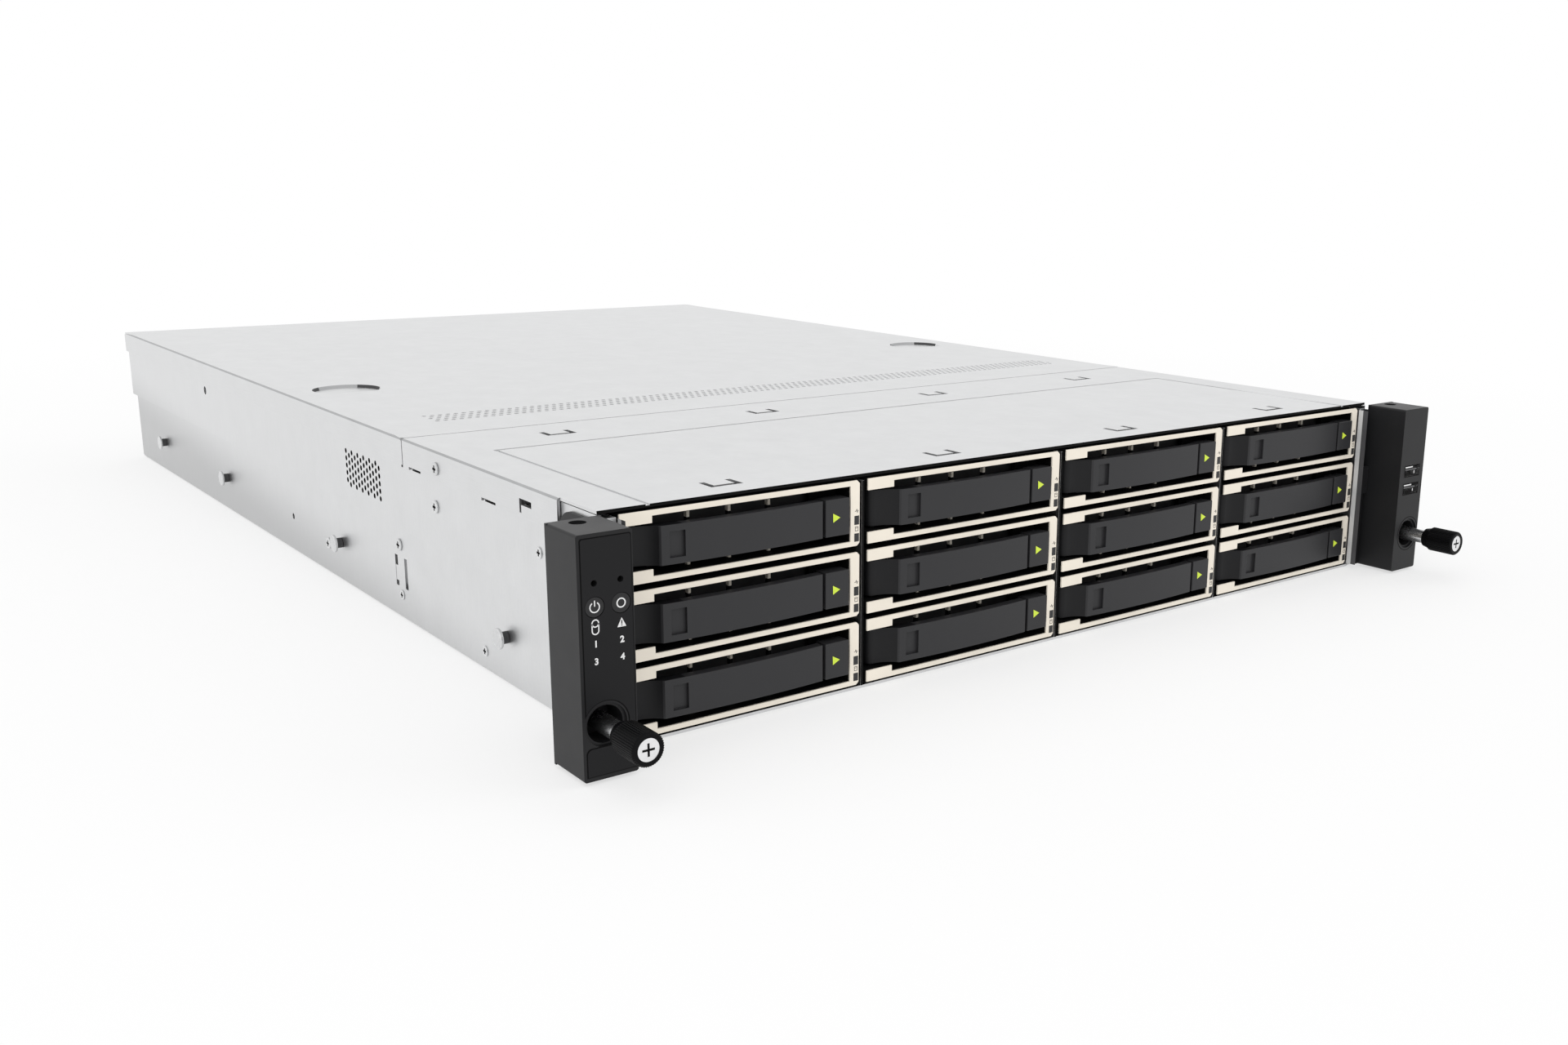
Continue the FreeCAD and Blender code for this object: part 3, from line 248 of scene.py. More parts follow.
def steel(name, dull, bright, stretch, rough, bump=0.05, foot=None):
    """Plated or brushed steel: clouds of tone, drawn lines, and edges rubbed a little brighter. A
    foot of (low, high, tone, line) paints shade: it darkens the sheet between those heights and along a fold."""
    material, tree, skin = shader(name)
    tone = add(tree, "Group", node_tree=clouds, Dull=(*dull, 1), Bright=(*bright, 1))
    hair = add(tree, "Group", node_tree=lines, Stretch=stretch, Contrast=0.9)
    rub = add(tree, "Group", node_tree=worn, Radius=0.0004, Amount=0.5)
    ground = add(tree, "Mix", data_type="RGBA", blend_type="SOFT_LIGHT", _0=0.22, _6=(tone, "Color"),
                 _7=(hair, "Mask"))
    # Painted shade: the sheet is darker between the heights and along the line.
    if foot:
        low, high, dark, fold = foot
        level = add(tree, "Group", node_tree=painted_shade_by_height, Low=low, High=high, Line=fold)
        shade = add(tree, "Mix", data_type="RGBA", _0=(level, "Mask"), _6=(dark, dark, dark, 1),
                    _7=(1, 1, 1, 1))
        ground = add(tree, "Mix", data_type="RGBA", blend_type="MULTIPLY", _0=1.0, _6=(ground, 2),
                     _7=(shade, 2))
    paler = add(tree, "Mix", data_type="RGBA", _0=(rub, "Mask"), _6=(ground, 2),
                _7=scaled_colour(bright, 1.12))
    gloss = add(tree, "MapRange", Value=(tone, "Tone"), To_Min=rough - 0.05, To_Max=rough + 0.07)
    relief = add(tree, "Bump", Strength=bump, Distance=0.0002, Height=(hair, "Height"))
    feed(tree, skin, Base_Color=(paler, 2), Metallic=1.0, Roughness=(gloss, 0), Normal=(relief, 0))
    return material


def plastic(name, colour, rough, size=3000.0, bump=0.08, shine=0.5, rub_colour=None):
    """A moulded skin: one colour that drifts a little, a fine pebble, and slightly rubbed edges."""
    material, tree, skin = shader(name)
    pebble = add(tree, "Group", node_tree=grain, Size=size)
    rub = add(tree, "Group", node_tree=worn, Radius=0.0003, Amount=0.35)
    drift = add(tree, "Mix", data_type="RGBA", _0=(pebble, "Mask"), _6=scaled_colour(colour, 0.93),
                _7=scaled_colour(colour, 1.05))
    paler = add(tree, "Mix", data_type="RGBA", _0=(rub, "Mask"), _6=(drift, 2),
                _7=(*rub_colour, 1) if rub_colour else scaled_colour(colour, 1.5, 0.01))
    gloss = add(tree, "MapRange", Value=(pebble, "Mask"), To_Min=rough - 0.04, To_Max=rough + 0.05)
    relief = add(tree, "Bump", Strength=bump, Distance=0.0001, Height=(pebble, "Height"))
    feed(tree, skin, Base_Color=(paler, 2), Roughness=(gloss, 0), Specular_IOR_Level=shine,
         Normal=(relief, 0))
    return material


ZINC_DULL = (0.68, 0.685, 0.69)
ZINC_BRIGHT = (0.74, 0.745, 0.75)
# The tray's sheet is darker near the floor, towards the rear and along a thin line at the joggle: painted
# shade.
JOGGLE_UP = 43.7 * MM
zinc = steel("zinc_plated_sheet", ZINC_DULL, ZINC_BRIGHT, (60.0, 2600.0, 90.0), 0.36,
             foot=(0.0, 38 * MM, 0.74, JOGGLE_UP))


def dress(node, material):
    """Give a CAD node that stays its material."""
    made = nodes[node]
    made.data.materials.clear()
    made.data.materials.append(material)


def stand(name, shape, material, body, slot, *replaced, crease=35, more=()):
    """A finished piece from its bmesh, riding on a body in place of the CAD nodes it stands for."""
    data = bpy.data.meshes.new(name)
    shape.to_mesh(data)
    shape.free()
    data.shade_smooth()
    data.set_sharp_from_angle(angle=math.radians(crease))
    for skin in (material, *more):
        data.materials.append(skin)
    made = bpy.data.objects.new(name, data)
    collection.objects.link(made)
    even = made.modifiers.new("even_shading", "WEIGHTED_NORMAL")
    even.keep_sharp = True
    even.weight = 100
    if replaced:
        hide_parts(*replaced)
    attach(made, body)
    return made


dress("chassis", zinc)


# Perforated air panels: the same sheet, punched with staggered round holes, one in each side wall.
def verts_in(geometry):
    """The vertices among what a mesh operator gives back."""
    return [item for item in geometry if isinstance(item, bmesh.types.BMVert)]


def perforated(columns, rows, pitch, step, hole):
    """A flat sheet in XY from the origin with staggered holes; odd rows start half a pitch later."""
    sheet = bmesh.new()
    middle = Vector((pitch / 2, step / 2, 0))
    ring = [Vector((pitch * x, step * y, 0)) for x, y in
            ((1, 0.5), (1, 1), (0.5, 1), (0, 1), (0, 0.5), (0, 0), (0.5, 0), (1, 0))]
    outer = [sheet.verts.new(spot) for spot in ring]
    spot = Matrix.Translation(middle)
    inner = bmesh.ops.create_circle(sheet, segments=8, radius=hole, matrix=spot)["verts"]
    rim = [sheet.edges.new((outer[index], outer[(index + 1) % 8])) for index in range(8)]
    hoop = list({edge for vert in inner for edge in vert.link_edges})
    bmesh.ops.bridge_loops(sheet, edges=rim + hoop)
    cell = list(sheet.verts) + list(sheet.edges) + list(sheet.faces)
    for row in range(rows):
        for column in range(columns):
            if row or column:
                twin = bmesh.ops.duplicate(sheet, geom=cell)["geom"]
                shift = Vector((pitch * (column + row % 2 / 2), step * row, 0))
                bmesh.ops.translate(sheet, verts=verts_in(twin), vec=shift)
        left = 0 if row % 2 else columns
        spots = [(0, 0), (0.5, 0), (0.5, 0.5), (0.5, 1), (0, 1), (0, 0.5)]
        sheet.faces.new([sheet.verts.new((pitch * (left + x), step * (row + y), 0)) for x, y in spots])
    bmesh.ops.remove_doubles(sheet, verts=sheet.verts, dist=1e-6)
    bmesh.ops.recalc_face_normals(sheet, faces=sheet.faces)
    if sheet.faces[0].normal.z < 0:
        bmesh.ops.reverse_faces(sheet, faces=sheet.faces)
    return sheet


def thicken(shape, thickness):
    """Give a level open sheet its thickness on the side away from its normals; the small upright
    walls of its holes take the second material."""
    bmesh.ops.solidify(shape, geom=list(shape.faces), thickness=thickness)
    bmesh.ops.recalc_face_normals(shape, faces=shape.faces)
    for face in shape.faces:
        if abs(face.normal.z) < 0.1 and max(edge.calc_length() for edge in face.edges) < thickness * 1.05:
            face.material_index = 1


# Black for real black plastic and print, and for painted shade in holes, recesses and gaps.
black_and_painted_shade = plastic("black_and_painted_shade", (0.004, 0.004, 0.004), 0.7, size=1200.0, bump=0.1, shine=0.1)
punched = plastic("punched_edge", (0.62, 0.625, 0.63), 0.6, size=900.0, bump=0.1, shine=0.5,
                  rub_colour=(0.72, 0.725, 0.73))
SHEET = 1.2 * MM
AIR_COLUMNS, AIR_ROWS = 5, 12
AIR_PITCH, AIR_STEP, AIR_HOLE = 3.49 * MM, 3.85 * MM, 1.3 * MM
AIR_LOW = 52.7 * MM
AIR_BACK = BAYS_FRONT + 207.5 * MM
wall_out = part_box("chassis")[1].x


def air_panel(side):
    """One side wall's panel, at x on that side; made for the left wall and mirrored for the right."""
    panel = perforated(AIR_COLUMNS, AIR_ROWS, AIR_PITCH, AIR_STEP, AIR_HOLE)
    thicken(panel, SHEET)
    turn = Matrix(((0, 0, -1, -wall_out), (0, 1, 0, AIR_BACK), (1, 0, 0, AIR_LOW), (0, 0, 0, 1)))
    bmesh.ops.transform(panel, matrix=turn, verts=panel.verts)
    if side > 0:
        bmesh.ops.scale(panel, vec=(-1, 1, 1), verts=panel.verts)
        bmesh.ops.reverse_faces(panel, faces=panel.faces)
    return panel


# The holes' walls are black: painted shade.
for word, side in (("left", -1), ("right", 1)):
    stand(f"{word}_air_panel", air_panel(side), zinc, "chassis", "case_steel", more=(black_and_painted_shade,))


# Front cover: fixed over the drive bays. Its long edges are bent down with a small radius, its eight
# hook tabs are lanced out of the sheet, and a shallow line is pressed in round its middle.
def merged(node):
    """A CAD node's own mesh with its triangles joined into faces."""
    shape = bmesh.new()
    shape.from_mesh(nodes[node].data)
    bmesh.ops.remove_doubles(shape, verts=shape.verts, dist=2e-6)
    bmesh.ops.dissolve_limit(shape, angle_limit=math.radians(0.6), verts=shape.verts, edges=shape.edges)
    return shape


def round_off(shape, radius, steps, choose):
    """Round the edges between two faces that choose picks."""
    picked = [edge for edge in shape.edges if len(edge.link_faces) == 2 and choose(edge)]
    bmesh.ops.bevel(shape, geom=picked, offset=radius, offset_type="OFFSET", segments=steps, profile=0.5,
                    affect="EDGES", clamp_overlap=True, material=-1)


def is_sharp(edge, least=30):
    """Whether the faces on both sides of an edge turn by more than an angle in degrees."""
    return edge.calc_face_angle(0) > math.radians(least)


def softened(node, radius, steps=2):
    """A CAD node's merged mesh with every sharp edge rounded a little."""
    shape = merged(node)
    round_off(shape, radius, steps, is_sharp)
    return shape


BEND = 1.4 * MM
cover_low, cover_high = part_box("front_cover")


def is_cover_bend(edge):
    """The long upper outside edge of a cover."""
    first, second = edge.verts
    run = second.co - first.co
    return (is_sharp(edge) and abs(run.normalized().y) > 0.99 and abs(first.co.z - cover_high.z) < 1e-5
            and abs(abs(first.co.x) - cover_high.x) < 1e-5)


cover_sheet = steel("zinc_plated_cover", ZINC_DULL, ZINC_BRIGHT, (90.0, 60.0, 2600.0), 0.38)
# Darker zinc for the covers' bends, the dishes' walls and the front catch plates: painted shade.
zinc_painted_shade = steel("zinc_with_painted_shade", (0.40, 0.405, 0.41), (0.50, 0.505, 0.51), (90.0, 60.0, 2600.0), 0.45)


def paint(shape, pick):
    """Give each face the material whose number pick tells from the face and its middle."""
    for face in shape.faces:
        face.material_index = int(pick(face, face.calc_center_median()))


def paint_bend_shade(shape, index, out):
    """Give the rounded long edges at x = out on both sides a material of their own, the darker zinc of
    painted shade along the bends.
    """
    for face in shape.faces:
        middle = face.calc_center_median()
        if 0.3 < abs(face.normal.x) < 0.97 and abs(middle.x) > out - BEND and face.normal.z > 0.2:
            face.material_index = index


# Along its bends the sheet takes the darker zinc, and its cut front edge is black: both painted shade.
PAINTED_SHADE_EDGE = 0.1 * MM
shape = merged("front_cover")
round_off(shape, BEND, 4, is_cover_bend)
paint_bend_shade(shape, 1, cover_high.x)
for face in shape.faces:
    if face.normal.y < -0.9 and face.calc_center_median().y < cover_low.y + PAINTED_SHADE_EDGE:
        face.material_index = 2
stand("front_cover_sheet", shape, cover_sheet, "chassis", "case_steel", "front_cover",
      more=(zinc_painted_shade, black_and_painted_shade))

# Main cover: slides back to open. The same sheet, with an air strip of staggered round holes across
# it, a shallow thumb dish near each side, and a rounded bend down to each flange.
main_low, main_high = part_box("main_cover")
STRIP_LEFT = -194 * MM
STRIP_FRONT = main_low.y + 32.9 * MM
STRIP_COLUMNS, STRIP_ROWS = 102, 5
STRIP_PITCH, STRIP_STEP, STRIP_HOLE = 3.86 * MM, 4.0 * MM, 1.15 * MM
DISH_OUT, DISH_BACK = 191.1 * MM, main_low.y + 158.1 * MM
DISH_RADIUS, DISH_FLOOR, DISH_SINK = 16.7 * MM, 16.2 * MM, 1.5 * MM
DISH_STEPS, DISH_RIM, RIM_FIND = 48, 0.25 * MM, 0.05 * MM
DISH_TILT = 1.04
WALL_NEAR, WALL_LOW, WALL_FRONT, WALL_STEEP, WALL_PAINTED_DEEP_SHADE = 0.7 * MM, 1.8 * MM, -2 * MM, 0.985, 0.62
SAME, SAME_TURN = 1e-6, 1e-4
FLANGE = 12.6 * MM
top = main_high.z

# Very dark zinc for the outer dish walls and the studs' necks: painted shade.
zinc_painted_deep_shade = steel("zinc_with_painted_deep_shade", (0.07, 0.07, 0.072), (0.11, 0.11, 0.112), (90.0, 60.0, 2600.0), 0.5)
sheet = perforated(STRIP_COLUMNS, STRIP_ROWS, STRIP_PITCH, STRIP_STEP, STRIP_HOLE)
bmesh.ops.translate(sheet, verts=sheet.verts, vec=(STRIP_LEFT, STRIP_FRONT, top))
border = [edge for edge in sheet.edges if edge.is_boundary and edge.calc_length() > STRIP_HOLE]
corners = [sheet.verts.new((x, y, top)) for x, y in
           ((main_low.x, main_low.y), (main_high.x, main_low.y), (main_high.x, main_high.y),
            (main_low.x, main_high.y))]
outline = [sheet.edges.new((corners[index], corners[(index + 1) % 4])) for index in range(4)]
hoops = []
for side in (-1, 1):
    spot = Matrix.Translation((side * DISH_OUT, DISH_BACK, top))
    hoop = bmesh.ops.create_circle(sheet, segments=DISH_STEPS, radius=DISH_RADIUS, matrix=spot)["verts"]
    hoops.append(list({edge for vert in hoop for edge in vert.link_edges}))
bmesh.ops.triangle_fill(sheet, edges=border + outline + hoops[0] + hoops[1], use_beauty=True,
                        use_dissolve=False, normal=(0, 0, 1))
for side, hoop in zip((-1, 1), hoops):
    ring = verts_in(bmesh.ops.extrude_edge_only(sheet, edges=hoop)["geom"])
    shrink = DISH_FLOOR / DISH_RADIUS
    bmesh.ops.scale(sheet, verts=ring, vec=(shrink, shrink, 1),
                    space=Matrix.Translation((-side * DISH_OUT, -DISH_BACK, 0)))
    for vert in ring:
        vert.co.z -= DISH_SINK * min(1, DISH_TILT + (vert.co.y - DISH_BACK) / DISH_FLOOR)
    turn = {vert: math.atan2(vert.co.y - DISH_BACK, vert.co.x - side * DISH_OUT) for vert in ring}
    rear_half = [vert for vert in ring if turn[vert] > -SAME_TURN]
    front_half = [vert for vert in ring if turn[vert] < SAME_TURN or turn[vert] > math.pi - SAME_TURN]
    sheet.faces.new(sorted(rear_half, key=turn.get))
    sheet.faces.new(sorted(front_half, key=lambda vert: (turn[vert] + 10 * SAME_TURN) % math.tau))
sides = [edge for edge in outline if abs(edge.verts[0].co.x - edge.verts[1].co.x) < SAME]
drop = bmesh.ops.extrude_edge_only(sheet, edges=sides)["geom"]
bmesh.ops.translate(sheet, verts=verts_in(drop), vec=(0, 0, -FLANGE))
bmesh.ops.recalc_face_normals(sheet, faces=sheet.faces)
if max(sheet.faces, key=lambda face: face.calc_area()).normal.z < 0:
    bmesh.ops.reverse_faces(sheet, faces=sheet.faces)


def is_side_edge(edge):
    """The upper edge along a flange."""
    first, second = edge.verts
    on_top = all(abs(vert.co.z - top) < SAME for vert in edge.verts)
    return on_top and abs(abs(first.co.x) - main_high.x) < SAME and abs(first.co.x - second.co.x) < SAME


def from_dish(spot):
    """How far a spot lies outward and rearward of the middle of its side's dish."""
    return abs(spot.x) - DISH_OUT, spot.y - DISH_BACK


round_off(sheet, BEND, 4, is_side_edge)
round_off(sheet, DISH_RIM, 2, lambda edge: is_sharp(edge, 15) and edge.calc_length() < 4 * MM and
          abs(math.hypot(*from_dish(edge.verts[0].co)) - DISH_RADIUS) < RIM_FIND)
thicken(sheet, SHEET)
# The bends take the darker zinc, the dishes' walls the darker zinc and on their outer part a very dark one:
# painted shade.
paint_bend_shade(sheet, 2, main_high.x)
for face in sheet.faces:
    middle = face.calc_center_median()
    run, back = from_dish(middle)
    on_wall = abs(math.hypot(run, back) - DISH_RADIUS) < WALL_NEAR and abs(face.normal.z) < WALL_STEEP
    if on_wall and back > WALL_FRONT and middle.z > top - WALL_LOW:
        face.material_index = 3 if abs(run) > WALL_PAINTED_DEEP_SHADE * DISH_RADIUS else 2
stand("main_cover_sheet", sheet, cover_sheet, "main_cover", "case_steel", "main_cover",
      more=(punched, zinc_painted_shade, zinc_painted_deep_shade))

# Rail studs: turned and plated, pressed into the lower half of the side walls. Each one has a wide
# head on a neck, for a hook of the rack's rail; the neck takes very dark zinc as painted shade.
bright = steel("bright_zinc", (0.60, 0.605, 0.61), (0.78, 0.785, 0.79), (400.0, 400.0, 400.0), 0.24,
               bump=0.02)
STUD_HEAD = 1.7 * MM
shape = softened("rail_studs", 0.3 * MM)
stud_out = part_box("rail_studs")[1].x
paint(shape, lambda face, middle: abs(middle.x) < stud_out - STUD_HEAD)
stand("rail_stud_set", shape, bright, "chassis", "fastener", "rail_studs", more=(zinc_painted_deep_shade,))

# Side screws and catches: low plated heads with a cross recess, and three small ones per side that
# hold the cage. A bridge of sheet stands in the rear catch window, a plate lies in the front one.
JOGGLE = 2.6 * MM
SMALL_SCREWS = ((197.0, 12.0, JOGGLE), (107.3, 9.0, JOGGLE), (47.3, 63.0, 0))
SMALL_HEAD, SMALL_TALL = 2.3 * MM, 0.5 * MM
CROSS_LONG, CROSS_WIDE = 0.27, 0.081
RECESS_SKIN = (-0.02 * MM, 0.04 * MM)
NOTCH_LONG, NOTCH_TALL = 1.1 * MM, 1.0 * MM
BRIDGE, CATCH, CATCH_LONG, CATCH_THICK = (200.5, 17.9, 25.0, 0.15), (189.5, 17.6, 29.8, 1.3), 3.0, 1.0


def block(shape, low, high):
    """Add a box between two corners."""
    size = Vector(high) - Vector(low)
    spot = Matrix.Translation((Vector(high) + Vector(low)) / 2) @ Matrix.Diagonal((*size, 1))
    return bmesh.ops.create_cube(shape, size=1, matrix=spot)["verts"]


def side_block(shape, side, across, along, up):
    """Add a box between three pairs of limits; the first is measured outward on one side."""
    out = sorted(side * reach for reach in across)
    block(shape, (out[0], along[0], up[0]), (out[1], along[1], up[1]))


def bodies_of(shape):
    """The separate bodies of a mesh, each as a list of faces that share edges."""
    waiting, found = set(shape.faces), []
    while waiting:
        stack, body = [waiting.pop()], []
        while stack:
            face = stack.pop()
            body.append(face)
            for edge in face.edges:
                for other in edge.link_faces:
                    if other in waiting:
                        waiting.remove(other)
                        stack.append(other)
        found.append(body)
    return found


def reach_of(body):
    """The lowest and highest corner of a body."""
    spots = [vert.co for face in body for vert in face.verts]
    return [Vector([pick(spot[axis] for spot in spots) for axis in range(3)]) for pick in (min, max)]


heads = merged("chassis_screws")
spots = [reach_of(body) for body in bodies_of(heads)]
round_off(heads, 0.3 * MM, 2, is_sharp)
stand("side_screw_heads", heads, bright, "chassis", "fastener", "chassis_screws")
small, recess = bmesh.new(), bmesh.new()
for side in (-1, 1):
    for back, up, inward in SMALL_SCREWS:
        face, y, z = side * (wall_out - inward), BAYS_FRONT + back * MM, up * MM
        place = Matrix.Translation((face + side * SMALL_TALL / 2, y, z))
        bmesh.ops.create_cone(small, cap_ends=True, segments=24, radius1=SMALL_HEAD, radius2=SMALL_HEAD,
                              depth=SMALL_TALL, matrix=place @ Matrix.Rotation(math.pi / 2, 4, "Y"))
        reach = Vector((SMALL_TALL, SMALL_HEAD, SMALL_HEAD))
        spots.append((Vector((face, y, z)) - reach, Vector((face, y, z)) + reach))
round_off(small, 0.2 * MM, 2, is_sharp)
stand("side_screws_small", small, bright, "chassis", "fastener")
for low, high in spots:
    middle, tall, out = (low + high) / 2, high.z - low.z, max((low.x, high.x), key=abs)
    skin = [abs(out) + proud for proud in RECESS_SKIN]
    for long, wide in ((CROSS_LONG, CROSS_WIDE), (CROSS_WIDE, CROSS_LONG)):
        side_block(recess, math.copysign(1, out), skin, (middle.y - tall * long, middle.y + tall * long),
                   (middle.z - tall * wide, middle.z + tall * wide))
bridges, catches = bmesh.new(), bmesh.new()
for side in (-1, 1):
    foot = top - FLANGE
    side_block(recess, side, [main_high.x + proud for proud in RECESS_SKIN],
               (main_low.y, main_low.y + NOTCH_LONG), (foot + RECESS_SKIN[0], foot + NOTCH_TALL))
    for shape, (back, foot, head, sink) in ((bridges, BRIDGE), (catches, CATCH)):
        walls = [wall_out - JOGGLE - depth * MM for depth in (sink, sink + CATCH_THICK)]
        side_block(shape, side, walls, (BAYS_FRONT + back * MM, BAYS_FRONT + (back + CATCH_LONG) * MM),
                   (foot * MM, head * MM))
# The cross recesses and the notches at the cover flanges' feet are thin black blocks: painted shade.
stand("screw_recesses_painted_shade", recess, black_and_painted_shade, "chassis", "fastener")
stand("catch_bridges", bridges, zinc, "chassis", "case_steel")
# The front catch plate takes the darker zinc: painted shade.
stand("catch_plates", catches, zinc_painted_shade, "chassis", "case_steel")

# Cage of the drive bays: five upright steel plates with ledges, spot-welded to the tray.
cage_steel = steel("cage_steel", (0.50, 0.505, 0.51), (0.66, 0.665, 0.67), (90.0, 2600.0, 60.0), 0.40)
DIVIDER_BACK, FRONT_ZONE, OUTER_PLATE = 2.6 * MM, 4 * MM, 5 * MM
cage = softened("drive_cage", 0.15 * MM)
cage_low, cage_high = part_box("drive_cage")
inner_plates = cage_high.x - OUTER_PLATE
for vert in cage.verts:
    if vert.co.y < cage_low.y + 0.2 * MM and abs(vert.co.x) < inner_plates:
        vert.co.y += DIVIDER_BACK
# The inner plates' front faces, set back, are black: painted shade between the carriers.
paint(cage, lambda face, middle: face.normal.y < -0.5 and middle.y < cage_low.y + FRONT_ZONE
      and abs(middle.x) < inner_plates)
stand("cage_plates", cage, cage_steel, "chassis", "cage", "drive_cage", more=(black_and_painted_shade,))


# Drive carriers: a cream moulded bezel with thin rims and thick hinge blocks, two folded steel side
# rails, and the drive between them. Twelve alike, numbered along the rows from the top left.
def only_bodies(shape, choose):
    """Keep the bodies of a mesh whose lowest and highest corner choose picks."""
    for body in bodies_of(shape):
        if not choose(*reach_of(body)):
            bmesh.ops.delete(shape, geom=body, context="FACES")
    return shape


cream = plastic("cream_moulding", (0.93, 0.86, 0.745), 0.42, size=2500.0, bump=0.05, shine=0.4,
                rub_colour=(0.95, 0.91, 0.83))
drive_black = plastic("drive_casting", (0.012, 0.012, 0.013), 0.5, size=900.0, bump=0.12)
lamp_window = plastic("lamp_window", (0.014, 0.014, 0.015), 0.22, size=600.0, bump=0.01)
# Brown for the bezel's side faces near the front: painted shade.
cream_painted_shade = plastic("cream_with_painted_shade", (0.30, 0.17, 0.065), 0.55, size=2500.0, bump=0.05, shine=0.2)
BEZEL_DEEP = 12 * MM
LAMPS = ((8.4, 12.0), (1.7, 5.0))
LAMP_LEFT, LAMP_RIGHT, LAMP_PROUD, LAMP_SUNK = 100.9, 103.2, 0.12, 0.6
# Black plates inside each bezel, above, below and right of the lever: painted shade.
PAINTED_SHADE_LINERS = (((12.9, 0.7, 1.7), (99.2, 11.9, 2.25)), ((12.9, 0.7, 23.55), (99.2, 11.9, 24.1)),
          ((98.75, 0.7, 1.8), (99.3, 11.9, 24.0)))

first_low, first_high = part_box("carrier_01")
deep = first_low.y + BEZEL_DEEP


def is_bezel(low, high):
    """Whether a body of a carrier is its front moulding."""
    return high.y < deep + 1e-5


def is_drive(low, high):
    """Whether a body of a carrier is the drive itself."""
    return high.y > deep + 1e-5 and high.x - low.x > 50 * MM


def is_rail(low, high):
    """Whether a body of a carrier is one of its steel rails."""
    return not is_bezel(low, high) and not is_drive(low, high)


def parted(shape, faces, spot, across):
    """Cut some faces of a mesh along a plane."""
    around = {edge for face in faces for edge in face.edges} | {vert for face in faces for vert in face.verts}
    bmesh.ops.bisect_plane(shape, geom=list(faces) + list(around), dist=1e-7, plane_co=spot, plane_no=across)


# Faces deeper than FACE_DEEP behind the front, and the struts' middles, take painted shade.
FACE_DEEP = 0.7 * MM
STRUT_LOW, STRUT_HIGH = 4.2 * MM, 6.0 * MM
PAINTED_SIDE_SHADE = 4 * MM
STRUT_ZONE, STRUT_WIDE = ((25 * MM, 70 * MM), (5.5 * MM, 8.6 * MM)), 1.4 * MM


def is_strut(face):
    """Whether a face belongs to the slim struts behind the lever."""
    middle, wide = face.calc_center_median() - first_low, [vert.co.x for vert in face.verts]
    inside = all(low < where < high for where, (low, high) in zip(middle, STRUT_ZONE))
    return inside and max(wide) - min(wide) < STRUT_WIDE


bezel = only_bodies(merged("carrier_01"), is_bezel)
parted(bezel, set(bezel.faces), first_low + Vector((0, FACE_DEEP, 0)), (0, 1, 0))
for height in (first_low.z + STRUT_LOW, first_high.z - STRUT_HIGH):
    parted(bezel, {face for face in bezel.faces if is_strut(face)}, (0, 0, height), (0, 0, 1))
round_off(bezel, 0.28 * MM, 2, is_sharp)


def bezel_skin(face, middle):
    """Cream on the front and the struts' ends; painted shade elsewhere: brown on the side faces near the
    front, else black.
    """
    if is_strut(face):
        return first_low.z + STRUT_LOW < middle.z < first_high.z - STRUT_HIGH
    if middle.y - first_low.y <= FACE_DEEP:
        return 0
    return 2 if abs(face.normal.x) > 0.6 and middle.y - first_low.y < PAINTED_SIDE_SHADE else 1


paint(bezel, bezel_skin)
drive = only_bodies(merged("carrier_01"), is_drive)
round_off(drive, 1.0 * MM, 2, is_sharp)
rails = only_bodies(merged("carrier_01"), is_rail)
round_off(rails, 0.2 * MM, 1, is_sharp)
painted_shade_liner = bmesh.new()
for low, high in PAINTED_SHADE_LINERS:
    block(painted_shade_liner, first_low + Vector(low) * MM, first_low + Vector(high) * MM)
lamps = bmesh.new()
for low, high in LAMPS:
    block(lamps, first_low + Vector((LAMP_LEFT, -LAMP_PROUD, low)) * MM,
          first_low + Vector((LAMP_RIGHT, LAMP_SUNK, high)) * MM)
round_off(lamps, 0.15 * MM, 2, is_sharp)


def fill_bays(kind, *pieces, replaces=True):
    """Stand a copy of each piece, made for the first bay, on one kind of body in all twelve."""
    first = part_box(f"{kind}_01")[0]
    for number in range(1, 13):
        body = f"{kind}_{number:02d}"
        for word, shape, material, slot, *more in pieces:
            twin = shape.copy()
            bmesh.ops.translate(twin, verts=twin.verts, vec=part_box(body)[0] - first)
            stand(f"{body}_{word}", twin, material, body, slot, *([body] if replaces else []), more=more)


fill_bays("carrier", ("bezel", bezel, cream, "drive_carrier", black_and_painted_shade, cream_painted_shade),
          ("rails", rails, cage_steel, "cage"), ("drive", drive, drive_black, "latch_button"),
          ("lamps", lamps, lamp_window, "latch_button"), ("painted_shade_liner", painted_shade_liner, black_and_painted_shade, "latch_button"))


# Post prints: a small pulse sign and a small drum above each carrier's two lamps, in grey ink
# printed on the post's face.
def bar_mark(shape, x0, z0, x1, z1, line, depth):
    """A straight flat band between two points, facing forward."""
    start, end = Vector((x0, depth, z0)), Vector((x1, depth, z1))
    wide = (end - start).cross(Vector((0, 1, 0))).normalized() * line / 2
    shape.faces.new([shape.verts.new(spot) for spot in (start + wide, start - wide, end - wide, end + wide)])


def raise_front(shape, thick):
    """Give flat faces a thickness towards the front, or towards the rear where it is negative."""
    lifted = bmesh.ops.extrude_face_region(shape, geom=list(shape.faces), use_keep_orig=True)["geom"]
    bmesh.ops.translate(shape, verts=verts_in(lifted), vec=(0, -thick, 0))
    bmesh.ops.recalc_face_normals(shape, faces=shape.faces)


